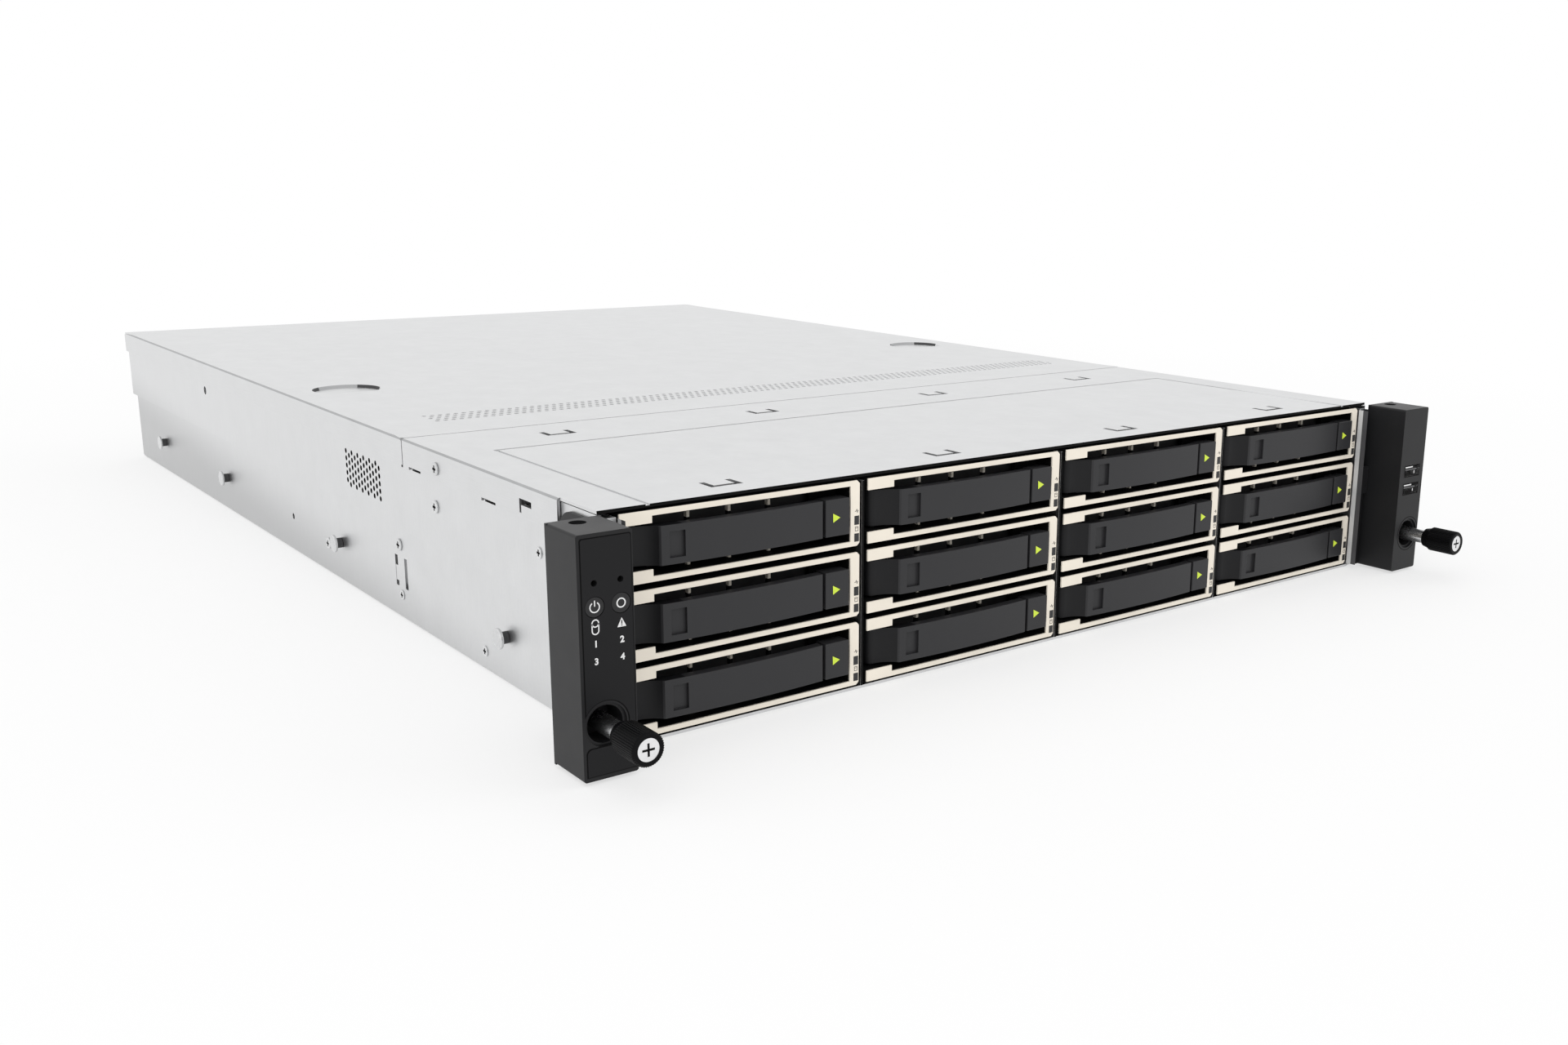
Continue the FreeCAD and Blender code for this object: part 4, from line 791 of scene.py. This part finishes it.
post_ink = plastic("post_ink", (0.10, 0.09, 0.08), 0.5, size=1800.0, bump=0.02)
PULSE = ((-0.9, -0.1), (-0.35, -0.1), (0.0, 0.75), (0.3, -0.75), (0.5, 0.1), (0.9, 0.1))
DRUM = ((-0.8, 0.81, 0.8, 0.81, 0.22), (-0.8, -0.81, 0.8, -0.81, 0.22), (-0.69, -0.7, -0.69, 0.7, 0.22),
        (0.69, -0.7, 0.69, 0.7, 0.22), (-0.58, 0.28, 0.58, 0.28, 0.16))
PULSE_UP, DRUM_SIGN_UP, PULSE_LINE, POST_INK_THICK = 13.9, 6.8, 0.22, 0.03
prints = bmesh.new()
post_x, post_front = (LAMP_LEFT + LAMP_RIGHT) / 2, -0.01
for (x0, z0), (x1, z1) in zip(PULSE, PULSE[1:]):
    bar_mark(prints, post_x + x0, PULSE_UP + z0, post_x + x1, PULSE_UP + z1, PULSE_LINE, post_front)
for x0, z0, x1, z1, line in DRUM:
    bar_mark(prints, post_x + x0, DRUM_SIGN_UP + z0, post_x + x1, DRUM_SIGN_UP + z1, line, post_front)
raise_front(prints, POST_INK_THICK)
bmesh.ops.scale(prints, vec=(MM, MM, MM), verts=prints.verts)
bmesh.ops.translate(prints, verts=prints.verts, vec=first_low)
fill_bays("carrier", ("prints", prints, post_ink, "drive_carrier"), replaces=False)

# Ejector levers: dark grey mouldings that turn on a pin at the left, with a square finger mark
# near the heel whose floor slopes back from its right and lower edges.
lever_skin = plastic("lever_moulding", (0.026, 0.026, 0.028), 0.38, size=2200.0, bump=0.04, shine=0.3,
                     rub_colour=(0.075, 0.075, 0.08))
# A darker copy of the lever's skin for its heel: painted shade.
heel_painted_shade = plastic("lever_heel_painted_shade", (0.006, 0.006, 0.007), 0.45, size=2200.0, bump=0.04, shine=0.25)
HEEL_END, HEEL_PAINTED_SHADE, LEVER_END, BOW = 15.2 * MM, 14.7 * MM, 84.7 * MM, 1.3 * MM
BOW_CUTS = (0.12, 0.25, 0.38, 0.5, 0.62, 0.75, 0.88)
lever = merged("lever_01")
for share in BOW_CUTS:
    bmesh.ops.bisect_plane(lever, geom=list(lever.verts) + list(lever.edges) + list(lever.faces), dist=1e-7,
                           plane_co=(first_low.x + HEEL_END + (LEVER_END - HEEL_END) * share, 0, 0),
                           plane_no=(1, 0, 0))
for vert in lever.verts:
    share = (vert.co.x - first_low.x - HEEL_END) / (LEVER_END - HEEL_END)
    if 0 < share < 1:
        vert.co.y -= BOW * 4 * share * (1 - share)
round_off(lever, 0.30 * MM, 2, is_sharp)
paint(lever, lambda face, middle: middle.x < first_low.x + HEEL_PAINTED_SHADE)
fill_bays("lever", ("arm", lever, lever_skin, "lever", heel_painted_shade))

# Latch buttons: they hold the lever's free end until they are pressed in. Each has a printed
# yellow-green arrow that points away from the lever.
arrow_paint = plastic("arrow_paint", (0.68, 0.86, 0.06), 0.45, size=1500.0, bump=0.02)
ARROW = ((89.5, 14.75), (89.6, 11.2), (92.9, 12.85))
ARROW_THICK = 0.05 * MM
button_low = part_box("latch_button_01")[0]
cap = softened("latch_button_01", 0.30 * MM)
arrow = bmesh.new()
face = arrow.faces.new([arrow.verts.new((first_low.x + x * MM, button_low.y, first_low.z + z * MM))
                        for x, z in ARROW])
lifted = bmesh.ops.extrude_face_region(arrow, geom=[face])["geom"]
bmesh.ops.translate(arrow, verts=verts_in(lifted), vec=(0, -ARROW_THICK, 0))
bmesh.ops.recalc_face_normals(arrow, faces=arrow.faces)
fill_bays("latch_button", ("cap", cap, lever_skin, "latch_button"),
          ("arrow", arrow, arrow_paint, "latch_button"))


# Rack ears: satin black mouldings on steel brackets. The left one carries a thin front panel with
# two buttons, two pinholes, printed marks and a cut-out round the thumbscrew.
def panel(edge_loops, front, thick):
    """A flat plate in XZ from closed loops of (x, z): the first is its edge, the rest are holes."""
    plate = bmesh.new()
    edges = []
    for loop in edge_loops:
        ring = [plate.verts.new((x, front, z)) for x, z in loop]
        edges += [plate.edges.new((ring[index - 1], ring[index])) for index in range(len(ring))]
    bmesh.ops.triangle_fill(plate, edges=edges, use_beauty=True, use_dissolve=False, normal=(0, -1, 0))
    raise_front(plate, -thick)
    return plate


def round_loop(x, z, radius, first=0, last=360, steps=40):
    """Points along an arc about (x, z), in degrees from +X towards +Z."""
    return [(x + radius * math.cos(math.radians(first + (last - first) * index / steps)),
             z + radius * math.sin(math.radians(first + (last - first) * index / steps)))
            for index in range(steps + (last - first < 360))]


ear_skin = plastic("ear_moulding", (0.014, 0.014, 0.015), 0.42, size=2600.0, bump=0.10, shine=0.22,
                   rub_colour=(0.075, 0.075, 0.08))
panel_skin = plastic("ear_panel_film", (0.010, 0.010, 0.011), 0.50, size=3200.0, bump=0.05, shine=0.18)
stand("left_ear_shell", softened("left_ear", 0.45 * MM), ear_skin, "chassis", "ear", "left_ear")
stand("right_ear_shell", softened("right_ear", 0.20 * MM), ear_skin, "chassis", "ear", "right_ear")

# Bracket edges: the ear brackets' steel flanges beside the drive bays, folded inward. Their front
# edge is bare, and a strip behind it is painted grey.
bracket_grey = plastic("bracket_paint", (0.07, 0.07, 0.075), 0.5, size=1500.0, bump=0.05)
BARE_STRIP, PAINTED_STRIP, STRIP_UP, STRIP_IN = (0.4, 3.0), (3.0, 5.8), (2.4 * MM, 84.0 * MM), (4.1, 4.02)
edges_bright, edges_grey = bmesh.new(), bmesh.new()
for side in (-1, 1):
    for shape, (start, end) in ((edges_bright, BARE_STRIP), (edges_grey, PAINTED_STRIP)):
        side_block(shape, side, [cage_high.x - inward * MM for inward in STRIP_IN],
                   (BAYS_FRONT - end * MM, BAYS_FRONT - start * MM), STRIP_UP)
stand("bracket_edges", edges_bright, punched, "chassis", "ear")
stand("bracket_paint", edges_grey, bracket_grey, "chassis", "ear")


def middle_of(node):
    """The middle of a CAD node as seen from the front, in millimetres."""
    low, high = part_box(node)
    return (low.x + high.x) / 2 / MM, (low.z + high.z) / 2 / MM


ear_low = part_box("left_ear")[0]
SCREW_X, SCREW_Z = middle_of("left_thumbscrew")
PANEL_LEFT, PANEL_RIGHT = ear_low.x / MM + 1.5, ear_low.x / MM + 19.6
PANEL_TOP, LOWER_TOP, LOWER_FOOT = 84.5, 12.8, 3.2
CUTOUT = 8.7
PANEL_THICK, GAP_THICK, GAP_WIDE = 0.22, 0.06, 0.35
BUTTONS = [middle_of("power_button"), middle_of("id_button")]
PINHOLE_UP, PINHOLE, GAP_PINHOLE, BUTTON_HOLE = 69.6, 1.1, 1.0, 3.62
TOP_CORNER, LOWER_CORNER = 0.8, 2


def panel_outline(spare):
    """The upper and lower panels' edges, grown by spare on every side."""
    left, right, up = PANEL_LEFT - spare, PANEL_RIGHT + spare, PANEL_TOP + spare
    radius = CUTOUT - spare
    turn = math.degrees(math.acos((left - SCREW_X) / radius))
    upper = round_loop(left + TOP_CORNER, up - TOP_CORNER, TOP_CORNER, 180, 90, 6)
    upper += round_loop(right - TOP_CORNER, up - TOP_CORNER, TOP_CORNER, 90, 0, 6)
    upper += [(right, SCREW_Z - 1)] + round_loop(SCREW_X, SCREW_Z, radius, -6, turn, 40)
    low, high = LOWER_FOOT - spare, LOWER_TOP + spare
    lower = round_loop(left + LOWER_CORNER, high - LOWER_CORNER, LOWER_CORNER, 180, 90, 8)
    return upper, lower + [(right, high), (right, low), (left, low)]


def in_metres(loops):
    """Loops of points in millimetres, in metres."""
    return [[(x * MM, z * MM) for x, z in loop] for loop in loops]


front = ear_low.y / MM
# A black plate a little larger than the panel lies under it, showing a thin black line round its edges and
# pinholes: painted shade of the groove.
for name, spare, thick, pinhole, skin in (("left_ear_panel", 0, PANEL_THICK, PINHOLE, panel_skin),
                                          ("left_ear_gap_painted_shade", GAP_WIDE, GAP_THICK, GAP_PINHOLE, black_and_painted_shade)):
    upper, lower = panel_outline(spare)
    openings = [round_loop(x, z, BUTTON_HOLE) for x, z in BUTTONS]
    openings += [round_loop(x, PINHOLE_UP, pinhole, steps=24) for x, z in BUTTONS]
    for word, loops in (("upper", [upper] + openings), ("lower", [lower])):
        plate = panel(in_metres(loops), (front - thick) * MM, thick * MM)
        stand(f"{name}_{word}", plate, skin, "chassis", "ear")

# Printed marks on the left ear: a standby sign on the power button, a plain ring on the other, a
# drum for the drives, a warning triangle, and the lamps' numbers.
print_white = plastic("white_print", (0.82, 0.82, 0.82), 0.5, size=1800.0, bump=0.02)
PRINT, FIGURE_BOLD = 0.04, 0.035


def arc_mark(shape, x, z, radius, line, first, last, depth, squash=1.0):
    """A band along an arc, spun from one short edge."""
    start = math.radians(first)
    ends = [shape.verts.new((x + reach * math.cos(start), depth, z + reach * math.sin(start) * squash))
            for reach in (radius - line / 2, radius + line / 2)]
    edge = shape.edges.new(ends)
    bmesh.ops.spin(shape, geom=ends + [edge], cent=(x, depth, z), axis=(0, -1, 0), dvec=(0, 0, 0),
                   angle=math.radians(last - first), steps=28, use_merge=last - first == 360,
                   use_duplicate=False)


def number_mark(shape, word, x, z, tall, depth):
    """A generic figure, its middle at (x, z)."""
    curve = bpy.data.curves.new("figure", "FONT")
    curve.body = word
    curve.align_x = "CENTER"
    curve.align_y = "CENTER"
    curve.size = tall
    curve.offset = FIGURE_BOLD * tall
    made = bpy.data.objects.new("figure", curve)
    flat = bpy.data.meshes.new_from_object(made)
    known = set(shape.verts)
    shape.from_mesh(flat)
    fresh = [vert for vert in shape.verts if vert not in known]
    place = Matrix(((1, 0, 0, x), (0, 0, 1, depth), (0, 1, 0, z), (0, 0, 0, 1)))
    bmesh.ops.transform(shape, matrix=place, verts=fresh)
    bpy.data.objects.remove(made)
    bpy.data.curves.remove(curve)
    bpy.data.meshes.remove(flat)


def printed(name, shape, body, slot_name, ink=print_white):
    """Give flat marks, drawn in millimetres, their film thickness and stand them."""
    bmesh.ops.remove_doubles(shape, verts=shape.verts, dist=1e-4)
    raise_front(shape, PRINT)
    bmesh.ops.scale(shape, vec=(MM, MM, MM), verts=shape.verts)
    stand(name, shape, ink, body, slot_name)


film = front - PANEL_THICK
marks = bmesh.new()
left_x, right_x = BUTTONS[0][0], BUTTONS[1][0]
DRUM_UP, DRUM_HALF, DRUM_REACH, DRUM_LINE, DRUM_SQUASH = 54.8, 1.25, 1.2, 0.42, 0.42
TRIANGLE = ((-1.65, -1.5), (1.65, -1.5), (0, 1.7))
LAMP_ROWS, FIGURE_TALL = (48.9, 42.9), 3.1
WARNING_BARS, WARNING_LINE = ((-0.55, 0.75), (-1.15, -0.8)), 0.36
STANDBY, STANDBY_LINE, STANDBY_ARC, STANDBY_BAR = 1.7, 0.4, (122, 418), (0.3, 2.3)
PLAIN_RING, PLAIN_LINE = 1.5, 0.45
for lift, first in ((DRUM_HALF, 0), (-DRUM_HALF, 180)):
    arc_mark(marks, left_x, DRUM_UP + lift, DRUM_REACH, DRUM_LINE, first, 360, film, DRUM_SQUASH)
for wall_x in (left_x - DRUM_REACH, left_x + DRUM_REACH):
    bar_mark(marks, wall_x, DRUM_UP - DRUM_HALF, wall_x, DRUM_UP + DRUM_HALF, DRUM_LINE, film)
marks.faces.new([marks.verts.new((right_x + x, film, DRUM_UP + z)) for x, z in TRIANGLE])
for index, word in enumerate("1234"):
    number_mark(marks, word, (left_x, right_x)[index % 2], LAMP_ROWS[index // 2], FIGURE_TALL, film)
printed("left_ear_marks", marks, "chassis", "ear")
warning = bmesh.new()
for foot, head in WARNING_BARS:
    bar_mark(warning, right_x, DRUM_UP + foot, right_x, DRUM_UP + head, WARNING_LINE, film - PRINT)
printed("left_ear_warning", warning, "chassis", "ear", black_and_painted_shade)

button_skin = plastic("button_cap", (0.014, 0.014, 0.015), 0.42, size=2600.0, bump=0.05, shine=0.35)
cap_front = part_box("power_button")[0].y / MM
for body, (x, z), mark in (("power_button", BUTTONS[0], "standby"), ("id_button", BUTTONS[1], "ring")):
    stand(f"{body}_cap", softened(body, 0.3 * MM), button_skin, body, "button", body)
    sign = bmesh.new()
    if mark == "standby":
        arc_mark(sign, x, z, STANDBY, STANDBY_LINE, *STANDBY_ARC, cap_front)
        bar_mark(sign, x, z + STANDBY_BAR[0], x, z + STANDBY_BAR[1], STANDBY_LINE, cap_front)
    else:
        arc_mark(sign, x, z, PLAIN_RING, PLAIN_LINE, 0, 360, cap_front)
    printed(f"{body}_{mark}", sign, body, "button")

# Sockets: two bright drawn-steel shells in the right ear, each with a contact tongue and two springs
# inside. A black band of painted shade marks the groove round the thumbscrew's recess below them.
socket_steel = steel("socket_shell", (0.72, 0.72, 0.72), (0.86, 0.86, 0.86), (900.0, 300.0, 900.0), 0.22,
                     bump=0.01)
ports_low, ports_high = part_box("usb_ports")
shells = softened("usb_ports", 0.12 * MM)
paint(shells, lambda face, middle: middle.y < ports_low.y + 0.3 * MM)
stand("socket_shells", shells, socket_steel, "chassis", "socket_shell", "usb_ports", more=(black_and_painted_shade,))
tongue_skin = plastic("contact_tongue", (0.20, 0.20, 0.205), 0.4)
SOCKET_FIRST, SOCKET_STEP = 3.05, 9.4
socket_wide = (ports_high.x - ports_low.x) / MM
TONGUE = ((1.2, 1.0, 0.3), (socket_wide - 1.2, 12.6, 0.75))
SPRINGS = (((0.8, 0.5, 1.7), (7.6, 3.0, 2.3)), ((9.0, 0.6, -1.6), (9.6, 2.6, -0.1)))
springs, tongues = bmesh.new(), bmesh.new()
for index in range(2):
    corner = Vector((ports_low.x, ports_low.y, ports_high.z - (SOCKET_FIRST + SOCKET_STEP * index) * MM))
    for shape, low, high in ((tongues, *TONGUE), (springs, *SPRINGS[0]), (springs, *SPRINGS[1])):
        block(shape, corner + Vector(low) * MM, corner + Vector(high) * MM)
round_off(tongues, 0.15 * MM, 1, is_sharp)
stand("contact_tongues", tongues, tongue_skin, "chassis", "ear")
stand("socket_springs", springs, socket_steel, "chassis", "socket_shell")

GROOVE_REACH, GROOVE_LINE, GROOVE_ARC = 8.85, 0.35, (20, 340)
groove = bmesh.new()
arc_mark(groove, *middle_of("right_thumbscrew"), GROOVE_REACH, GROOVE_LINE, *GROOVE_ARC,
         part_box("right_ear")[0].y / MM)
printed("right_ear_groove_painted_shade", groove, "chassis", "ear", black_and_painted_shade)

# Captive thumbscrews: a black straight-knurled knob with a bright screw set in its face, on a bright
# turned sleeve that slides in the ear.
knob_skin = plastic("knob_anodised", (0.002, 0.002, 0.0025), 0.40, size=2400.0, bump=0.04, shine=0.1,
                    rub_colour=(0.012, 0.012, 0.012))
sleeve_steel = steel("turned_sleeve", (0.52, 0.525, 0.53), (0.74, 0.745, 0.75), (300.0, 4000.0, 300.0), 0.26)
face_steel = steel("screw_face", (0.74, 0.74, 0.745), (0.86, 0.86, 0.865), (900.0, 900.0, 900.0), 0.30)
KNURLS = 44
KNOB_PROFILE = ((4.05, 1.1), (4.05, 0.0), (5.35, 0.0), (6.0, 0.7), (6.0, 13.6), (5.3, 14.5), (4.6, 17.4),
                (2.62, 17.4), (2.62, 36.8))
CROSS_ARM, CROSS_HALF, CROSS_DEEP = 2.3, 0.42, 0.75
KNURL_FROM, KNURL_IN, DISC, DISC_BACK = 5.9, 0.955, 4.0, 0.25


def knob(x, z, tip):
    """The knurled knob and its shank, spun about the screw's axis."""
    turned = bmesh.new()
    path = [turned.verts.new((reach, along, 0)) for reach, along in KNOB_PROFILE]
    steps = KNURLS * 4
    runs = [turned.edges.new(path[index:index + 2]) for index in range(len(path) - 1)]
    bmesh.ops.spin(turned, geom=path + runs, cent=(0, 0, 0), axis=(0, 1, 0), dvec=(0, 0, 0),
                   angle=math.tau, steps=steps, use_merge=True, use_duplicate=False)
    for vert in turned.verts:
        if math.hypot(vert.co.x, vert.co.z) > KNURL_FROM:
            beat = round(math.atan2(vert.co.z, vert.co.x) / (math.tau / steps)) % 4
            vert.co.xz = vert.co.xz * (1.0 if beat in (0, 1) else KNURL_IN)
    bmesh.ops.holes_fill(turned, edges=[edge for edge in turned.edges if edge.is_boundary])
    bmesh.ops.recalc_face_normals(turned, faces=turned.faces)
    bmesh.ops.scale(turned, vec=(MM, MM, MM), verts=turned.verts)
    bmesh.ops.translate(turned, verts=turned.verts, vec=(x, tip, z))
    return turned


for side in ("left", "right"):
    body, sleeve = f"{side}_thumbscrew", f"{side}_sleeve"
    tip, (x, z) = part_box(body)[0].y, middle_of(body)
    stand(f"{body}_knob", knob(x * MM, z * MM, tip), knob_skin, body, "knob", body, crease=20)
    arm, half = CROSS_ARM, CROSS_HALF
    cross = [(x + across, z + up) for across, up in
             ((half, half), (half, arm), (-half, arm), (-half, half), (-arm, half), (-arm, -half),
              (-half, -half), (-half, -arm), (half, -arm), (half, -half), (arm, -half), (arm, half))]
    disc = panel(in_metres((round_loop(x, z, DISC, steps=48), cross)), tip + DISC_BACK * MM, CROSS_DEEP * MM)
    stand(f"{body}_face", disc, face_steel, body, "fastener")
    stand(f"{sleeve}_tube", softened(sleeve, 0.25 * MM), sleeve_steel, sleeve, "sleeve", sleeve)

# Inside: the backplane, fans and main board, seen through the air holes and with the covers off.
# The boards are green laminate, the coolers' fins bare aluminium, the sockets and fans black.
board_green = plastic("circuit_board", (0.015, 0.07, 0.03), 0.4, size=700.0, bump=0.1)
memory_green = plastic("memory_board", (0.008, 0.035, 0.018), 0.45, size=500.0, bump=0.15)
fan_black = plastic("fan_moulding", (0.016, 0.016, 0.017), 0.5)
rotor_grey = plastic("fan_blades", (0.035, 0.035, 0.037), 0.42)
fin_metal = steel("cooler_fins", (0.58, 0.58, 0.585), (0.74, 0.74, 0.745), (120.0, 120.0, 3000.0), 0.34)


def sorted_bodies(node, pick_index):
    """A CAD node's merged mesh whose bodies take the material that pick_index gives their size."""
    shape = merged(node)
    for body in bodies_of(shape):
        low, high = reach_of(body)
        for face in body:
            face.material_index = pick_index(high - low)
    round_off(shape, 0.2 * MM, 1, is_sharp)
    return shape


BOARD_WIDE, PLUG_WIDE = 300 * MM, 100 * MM
MODULE_THIN, MODULE_LONG, MODULE_TALL = 10 * MM, 110 * MM, 20 * MM


def board_part(size):
    """The board itself, a cooler or a memory module, told by its size."""
    if size.x > BOARD_WIDE:
        return 0
    return 2 if size.x < MODULE_THIN and size.y > MODULE_LONG and size.z > MODULE_TALL else 1


stand("drive_backplane", sorted_bodies("backplane", lambda size: int(size.x < PLUG_WIDE)), board_green,
      "chassis", "circuit_board", "backplane", more=(black_and_painted_shade,))
stand("populated_board", sorted_bodies("main_board", board_part), board_green, "chassis", "circuit_board",
      "main_board", more=(fin_metal, memory_green))
stand("fan_housings", softened("fan_frames", 0.4 * MM), fan_black, "chassis", "fan_frame", "fan_frames")
for number in range(1, 5):
    body = f"fan_rotor_{number}"
    stand(f"{body}_blades", softened(body, 0.25 * MM, 1), rotor_grey, body, "fan_rotor", body)

# Power supplies: plated cases that plug in from the rear. Each has a cord inlet with three pins, a
# round guard over its own fan, a red release tab, a lamp and a black loop handle.
supply_steel = steel("supply_case", (0.55, 0.555, 0.56), (0.70, 0.705, 0.71), (60.0, 2200.0, 90.0), 0.38)
handle_skin = plastic("handle_moulding", (0.018, 0.018, 0.019), 0.42, size=2400.0, bump=0.06, shine=0.3)
inlet_skin = plastic("inlet_moulding", (0.010, 0.010, 0.011), 0.45, size=1800.0, bump=0.04, shine=0.3)
tab_red = plastic("release_tab", (0.35, 0.035, 0.02), 0.42, size=2400.0, bump=0.05)
lamp_green = plastic("supply_lamp", (0.10, 0.42, 0.09), 0.25, size=900.0, bump=0.02)
CASE_DEEP = 685 * MM
rear = BAYS_FRONT + CASE_DEEP
INLET = ((6.0, 6.0), (30.6, 23.0))
INLET_WALL, INLET_DEEP = 2.2, 14.8
PINS, PIN_HALF, PIN_TALL, PIN_FRONT = ((18.3, 18.0), (12.6, 12.2), (24.0, 12.2)), 0.9, 2.0, 3.0
GUARD_RIGHT, GUARD_UP, GUARD_RADIUS = 69.6, 19.5, 14.6
RING_LINE, SPOKE_LINE, RINGS, RING_OUT, SPOKE_OUT = 0.75, 0.9, (0.2, 0.4, 0.6, 0.8, 1.0), 0.4, 0.45
SPOKES, MOUTH_OUT, MOUTH_THICK = (45, 135, 225, 315), -0.02 * MM, 0.05 * MM
RELEASE_TAB = ((34.5, -0.2, 25), (42.5, 2.6, 33))
SUPPLY_LAMP = ((36.5, -0.2, 8), (39.5, 0.35, 11))


def on_rear(corner, right, back, up):
    """A spot on the rear wall, in millimetres from a corner."""
    return Vector((corner.x + right * MM, rear + back * MM, corner.z + up * MM))


def tube(shape, low, high, wall):
    """Add four blocks that leave a square opening along Y."""
    low, high = Vector(low), Vector(high)
    block(shape, low, (high.x, high.y, low.z + wall))
    block(shape, (low.x, low.y, high.z - wall), high)
    block(shape, (low.x, low.y, low.z + wall), (low.x + wall, high.y, high.z - wall))
    block(shape, (high.x - wall, low.y, low.z + wall), (high.x, high.y, high.z - wall))


for number in (1, 2):
    body = f"power_supply_{number}"
    low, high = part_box(body)
    case = softened(body, 0.5 * MM)
    paint(case, lambda face, middle: middle.y > rear + 0.3 * MM)
    stand(f"{body}_case", case, supply_steel, body, "power_supply", body, more=(handle_skin,))
    inlet, pins, guard = bmesh.new(), bmesh.new(), bmesh.new()
    (left, foot), (right, head) = INLET
    start = on_rear(low, left, -INLET_DEEP, foot)
    tube(inlet, start, on_rear(low, right, -0.1, head), INLET_WALL * MM)
    block(inlet, start, on_rear(low, right, 1 - INLET_DEEP, head))
    round_off(inlet, 0.3 * MM, 2, is_sharp)
    stand(f"{body}_inlet", inlet, inlet_skin, body, "power_supply")
    for across, up in PINS:
        block(pins, on_rear(low, across - PIN_HALF, 1 - INLET_DEEP, up - PIN_TALL),
              on_rear(low, across + PIN_HALF, -PIN_FRONT, up + PIN_TALL))
    round_off(pins, 0.25 * MM, 1, is_sharp)
    stand(f"{body}_pins", pins, bright, body, "power_supply")
    # A thin black disc at the guard's mouth: painted shade in the fan's opening.
    spot = on_rear(low, GUARD_RIGHT, 0, GUARD_UP) / MM
    hollow = panel(in_metres([round_loop(spot.x, spot.z, GUARD_RADIUS)]), rear + MOUTH_OUT, MOUTH_THICK)
    stand(f"{body}_fan_mouth_painted_shade", hollow, black_and_painted_shade, body, "power_supply")
    for share in RINGS:
        arc_mark(guard, spot.x, spot.z, GUARD_RADIUS * share, RING_LINE, 0, 360, spot.y + RING_OUT)
    for turn in SPOKES:
        x, z = math.cos(math.radians(turn)) * GUARD_RADIUS, math.sin(math.radians(turn)) * GUARD_RADIUS
        bar_mark(guard, spot.x + x * RINGS[0], spot.z + z * RINGS[0], spot.x + x, spot.z + z, SPOKE_LINE,
                 spot.y + SPOKE_OUT)
    printed(f"{body}_fan_guard", guard, body, "power_supply", bright)
    for word, (start, end), radius, skin in (("release_tab", RELEASE_TAB, 0.5, tab_red),
                                             ("lamp", SUPPLY_LAMP, 0.2, lamp_green)):
        shape = bmesh.new()
        block(shape, on_rear(low, *start), on_rear(low, *end))
        round_off(shape, radius * MM, 2, is_sharp)
        stand(f"{body}_{word}", shape, skin, body, "power_supply")

# Rear wall: five ports with drawn shells round black liners with contact tongues, and on each expansion
# slot's cover two rows of air slots drawn as black strips of painted shade.
PORT_FIRST, PORT_STEP, PORT_LOW, PORTS = -148.0, 22.0, 14.0, 5
PORT_WIDE, PORT_TALL, PORT_DEEP, PORT_INSET, PORT_SHEET = 15.0, 12.0, 12.0, 0.2, 0.6
PORT_TONGUES, TONGUE_IN, TONGUE_HALF, TONGUE_BACK = (3.6, 8.4), 2.5, 0.8, 3.0
SLOT_SPOTS = ((-177.0, 44.6), (-55.0, 44.6), (67.0, 44.6), (-177.0, 64.6), (-55.0, 64.6), (67.0, 64.6))
SLOT_ROWS, SLOT_STEP, SLOT_LEFT, SLOT_WIDE, SLOT_TALL, SLOTS = (4.6, 9.6), 8, 9, 4.6, 1.7, 12
SLOT_SKIN = (0.75, 0.83)
wide, tall = PORT_WIDE - PORT_INSET, PORT_TALL - PORT_INSET
shells, liners, tongues, slots = bmesh.new(), bmesh.new(), bmesh.new(), bmesh.new()
for step in range(PORTS):
    corner = Vector((PORT_FIRST + PORT_STEP * step, 0, PORT_LOW)) * MM
    start = on_rear(corner, PORT_INSET, -PORT_DEEP, PORT_INSET)
    tube(shells, start, on_rear(corner, wide, 0, tall), PORT_SHEET * MM)
    block(liners, start, on_rear(corner, wide, 1 - PORT_DEEP, tall))
    for up in PORT_TONGUES:
        block(tongues, on_rear(corner, TONGUE_IN, 1 - PORT_DEEP, up - TONGUE_HALF),
              on_rear(corner, PORT_WIDE - TONGUE_IN, -TONGUE_BACK, up + TONGUE_HALF))
for shape in (shells, tongues):
    round_off(shape, 0.12 * MM, 1, is_sharp)
stand("rear_port_shells", shells, socket_steel, "chassis", "socket_shell")
stand("rear_port_liners", liners, black_and_painted_shade, "chassis", "socket_shell")
stand("rear_port_tongues", tongues, tongue_skin, "chassis", "socket_shell")
for left, foot in SLOT_SPOTS:
    corner = Vector((left, 0, foot)) * MM
    for up in SLOT_ROWS:
        for right in range(SLOT_LEFT, SLOT_LEFT + SLOT_STEP * SLOTS, SLOT_STEP):
            block(slots, on_rear(corner, right, SLOT_SKIN[0], up),
                  on_rear(corner, right + SLOT_WIDE, SLOT_SKIN[1], up + SLOT_TALL))
stand("slot_cover_slots_painted_shade", slots, black_and_painted_shade, "chassis", "case_steel")
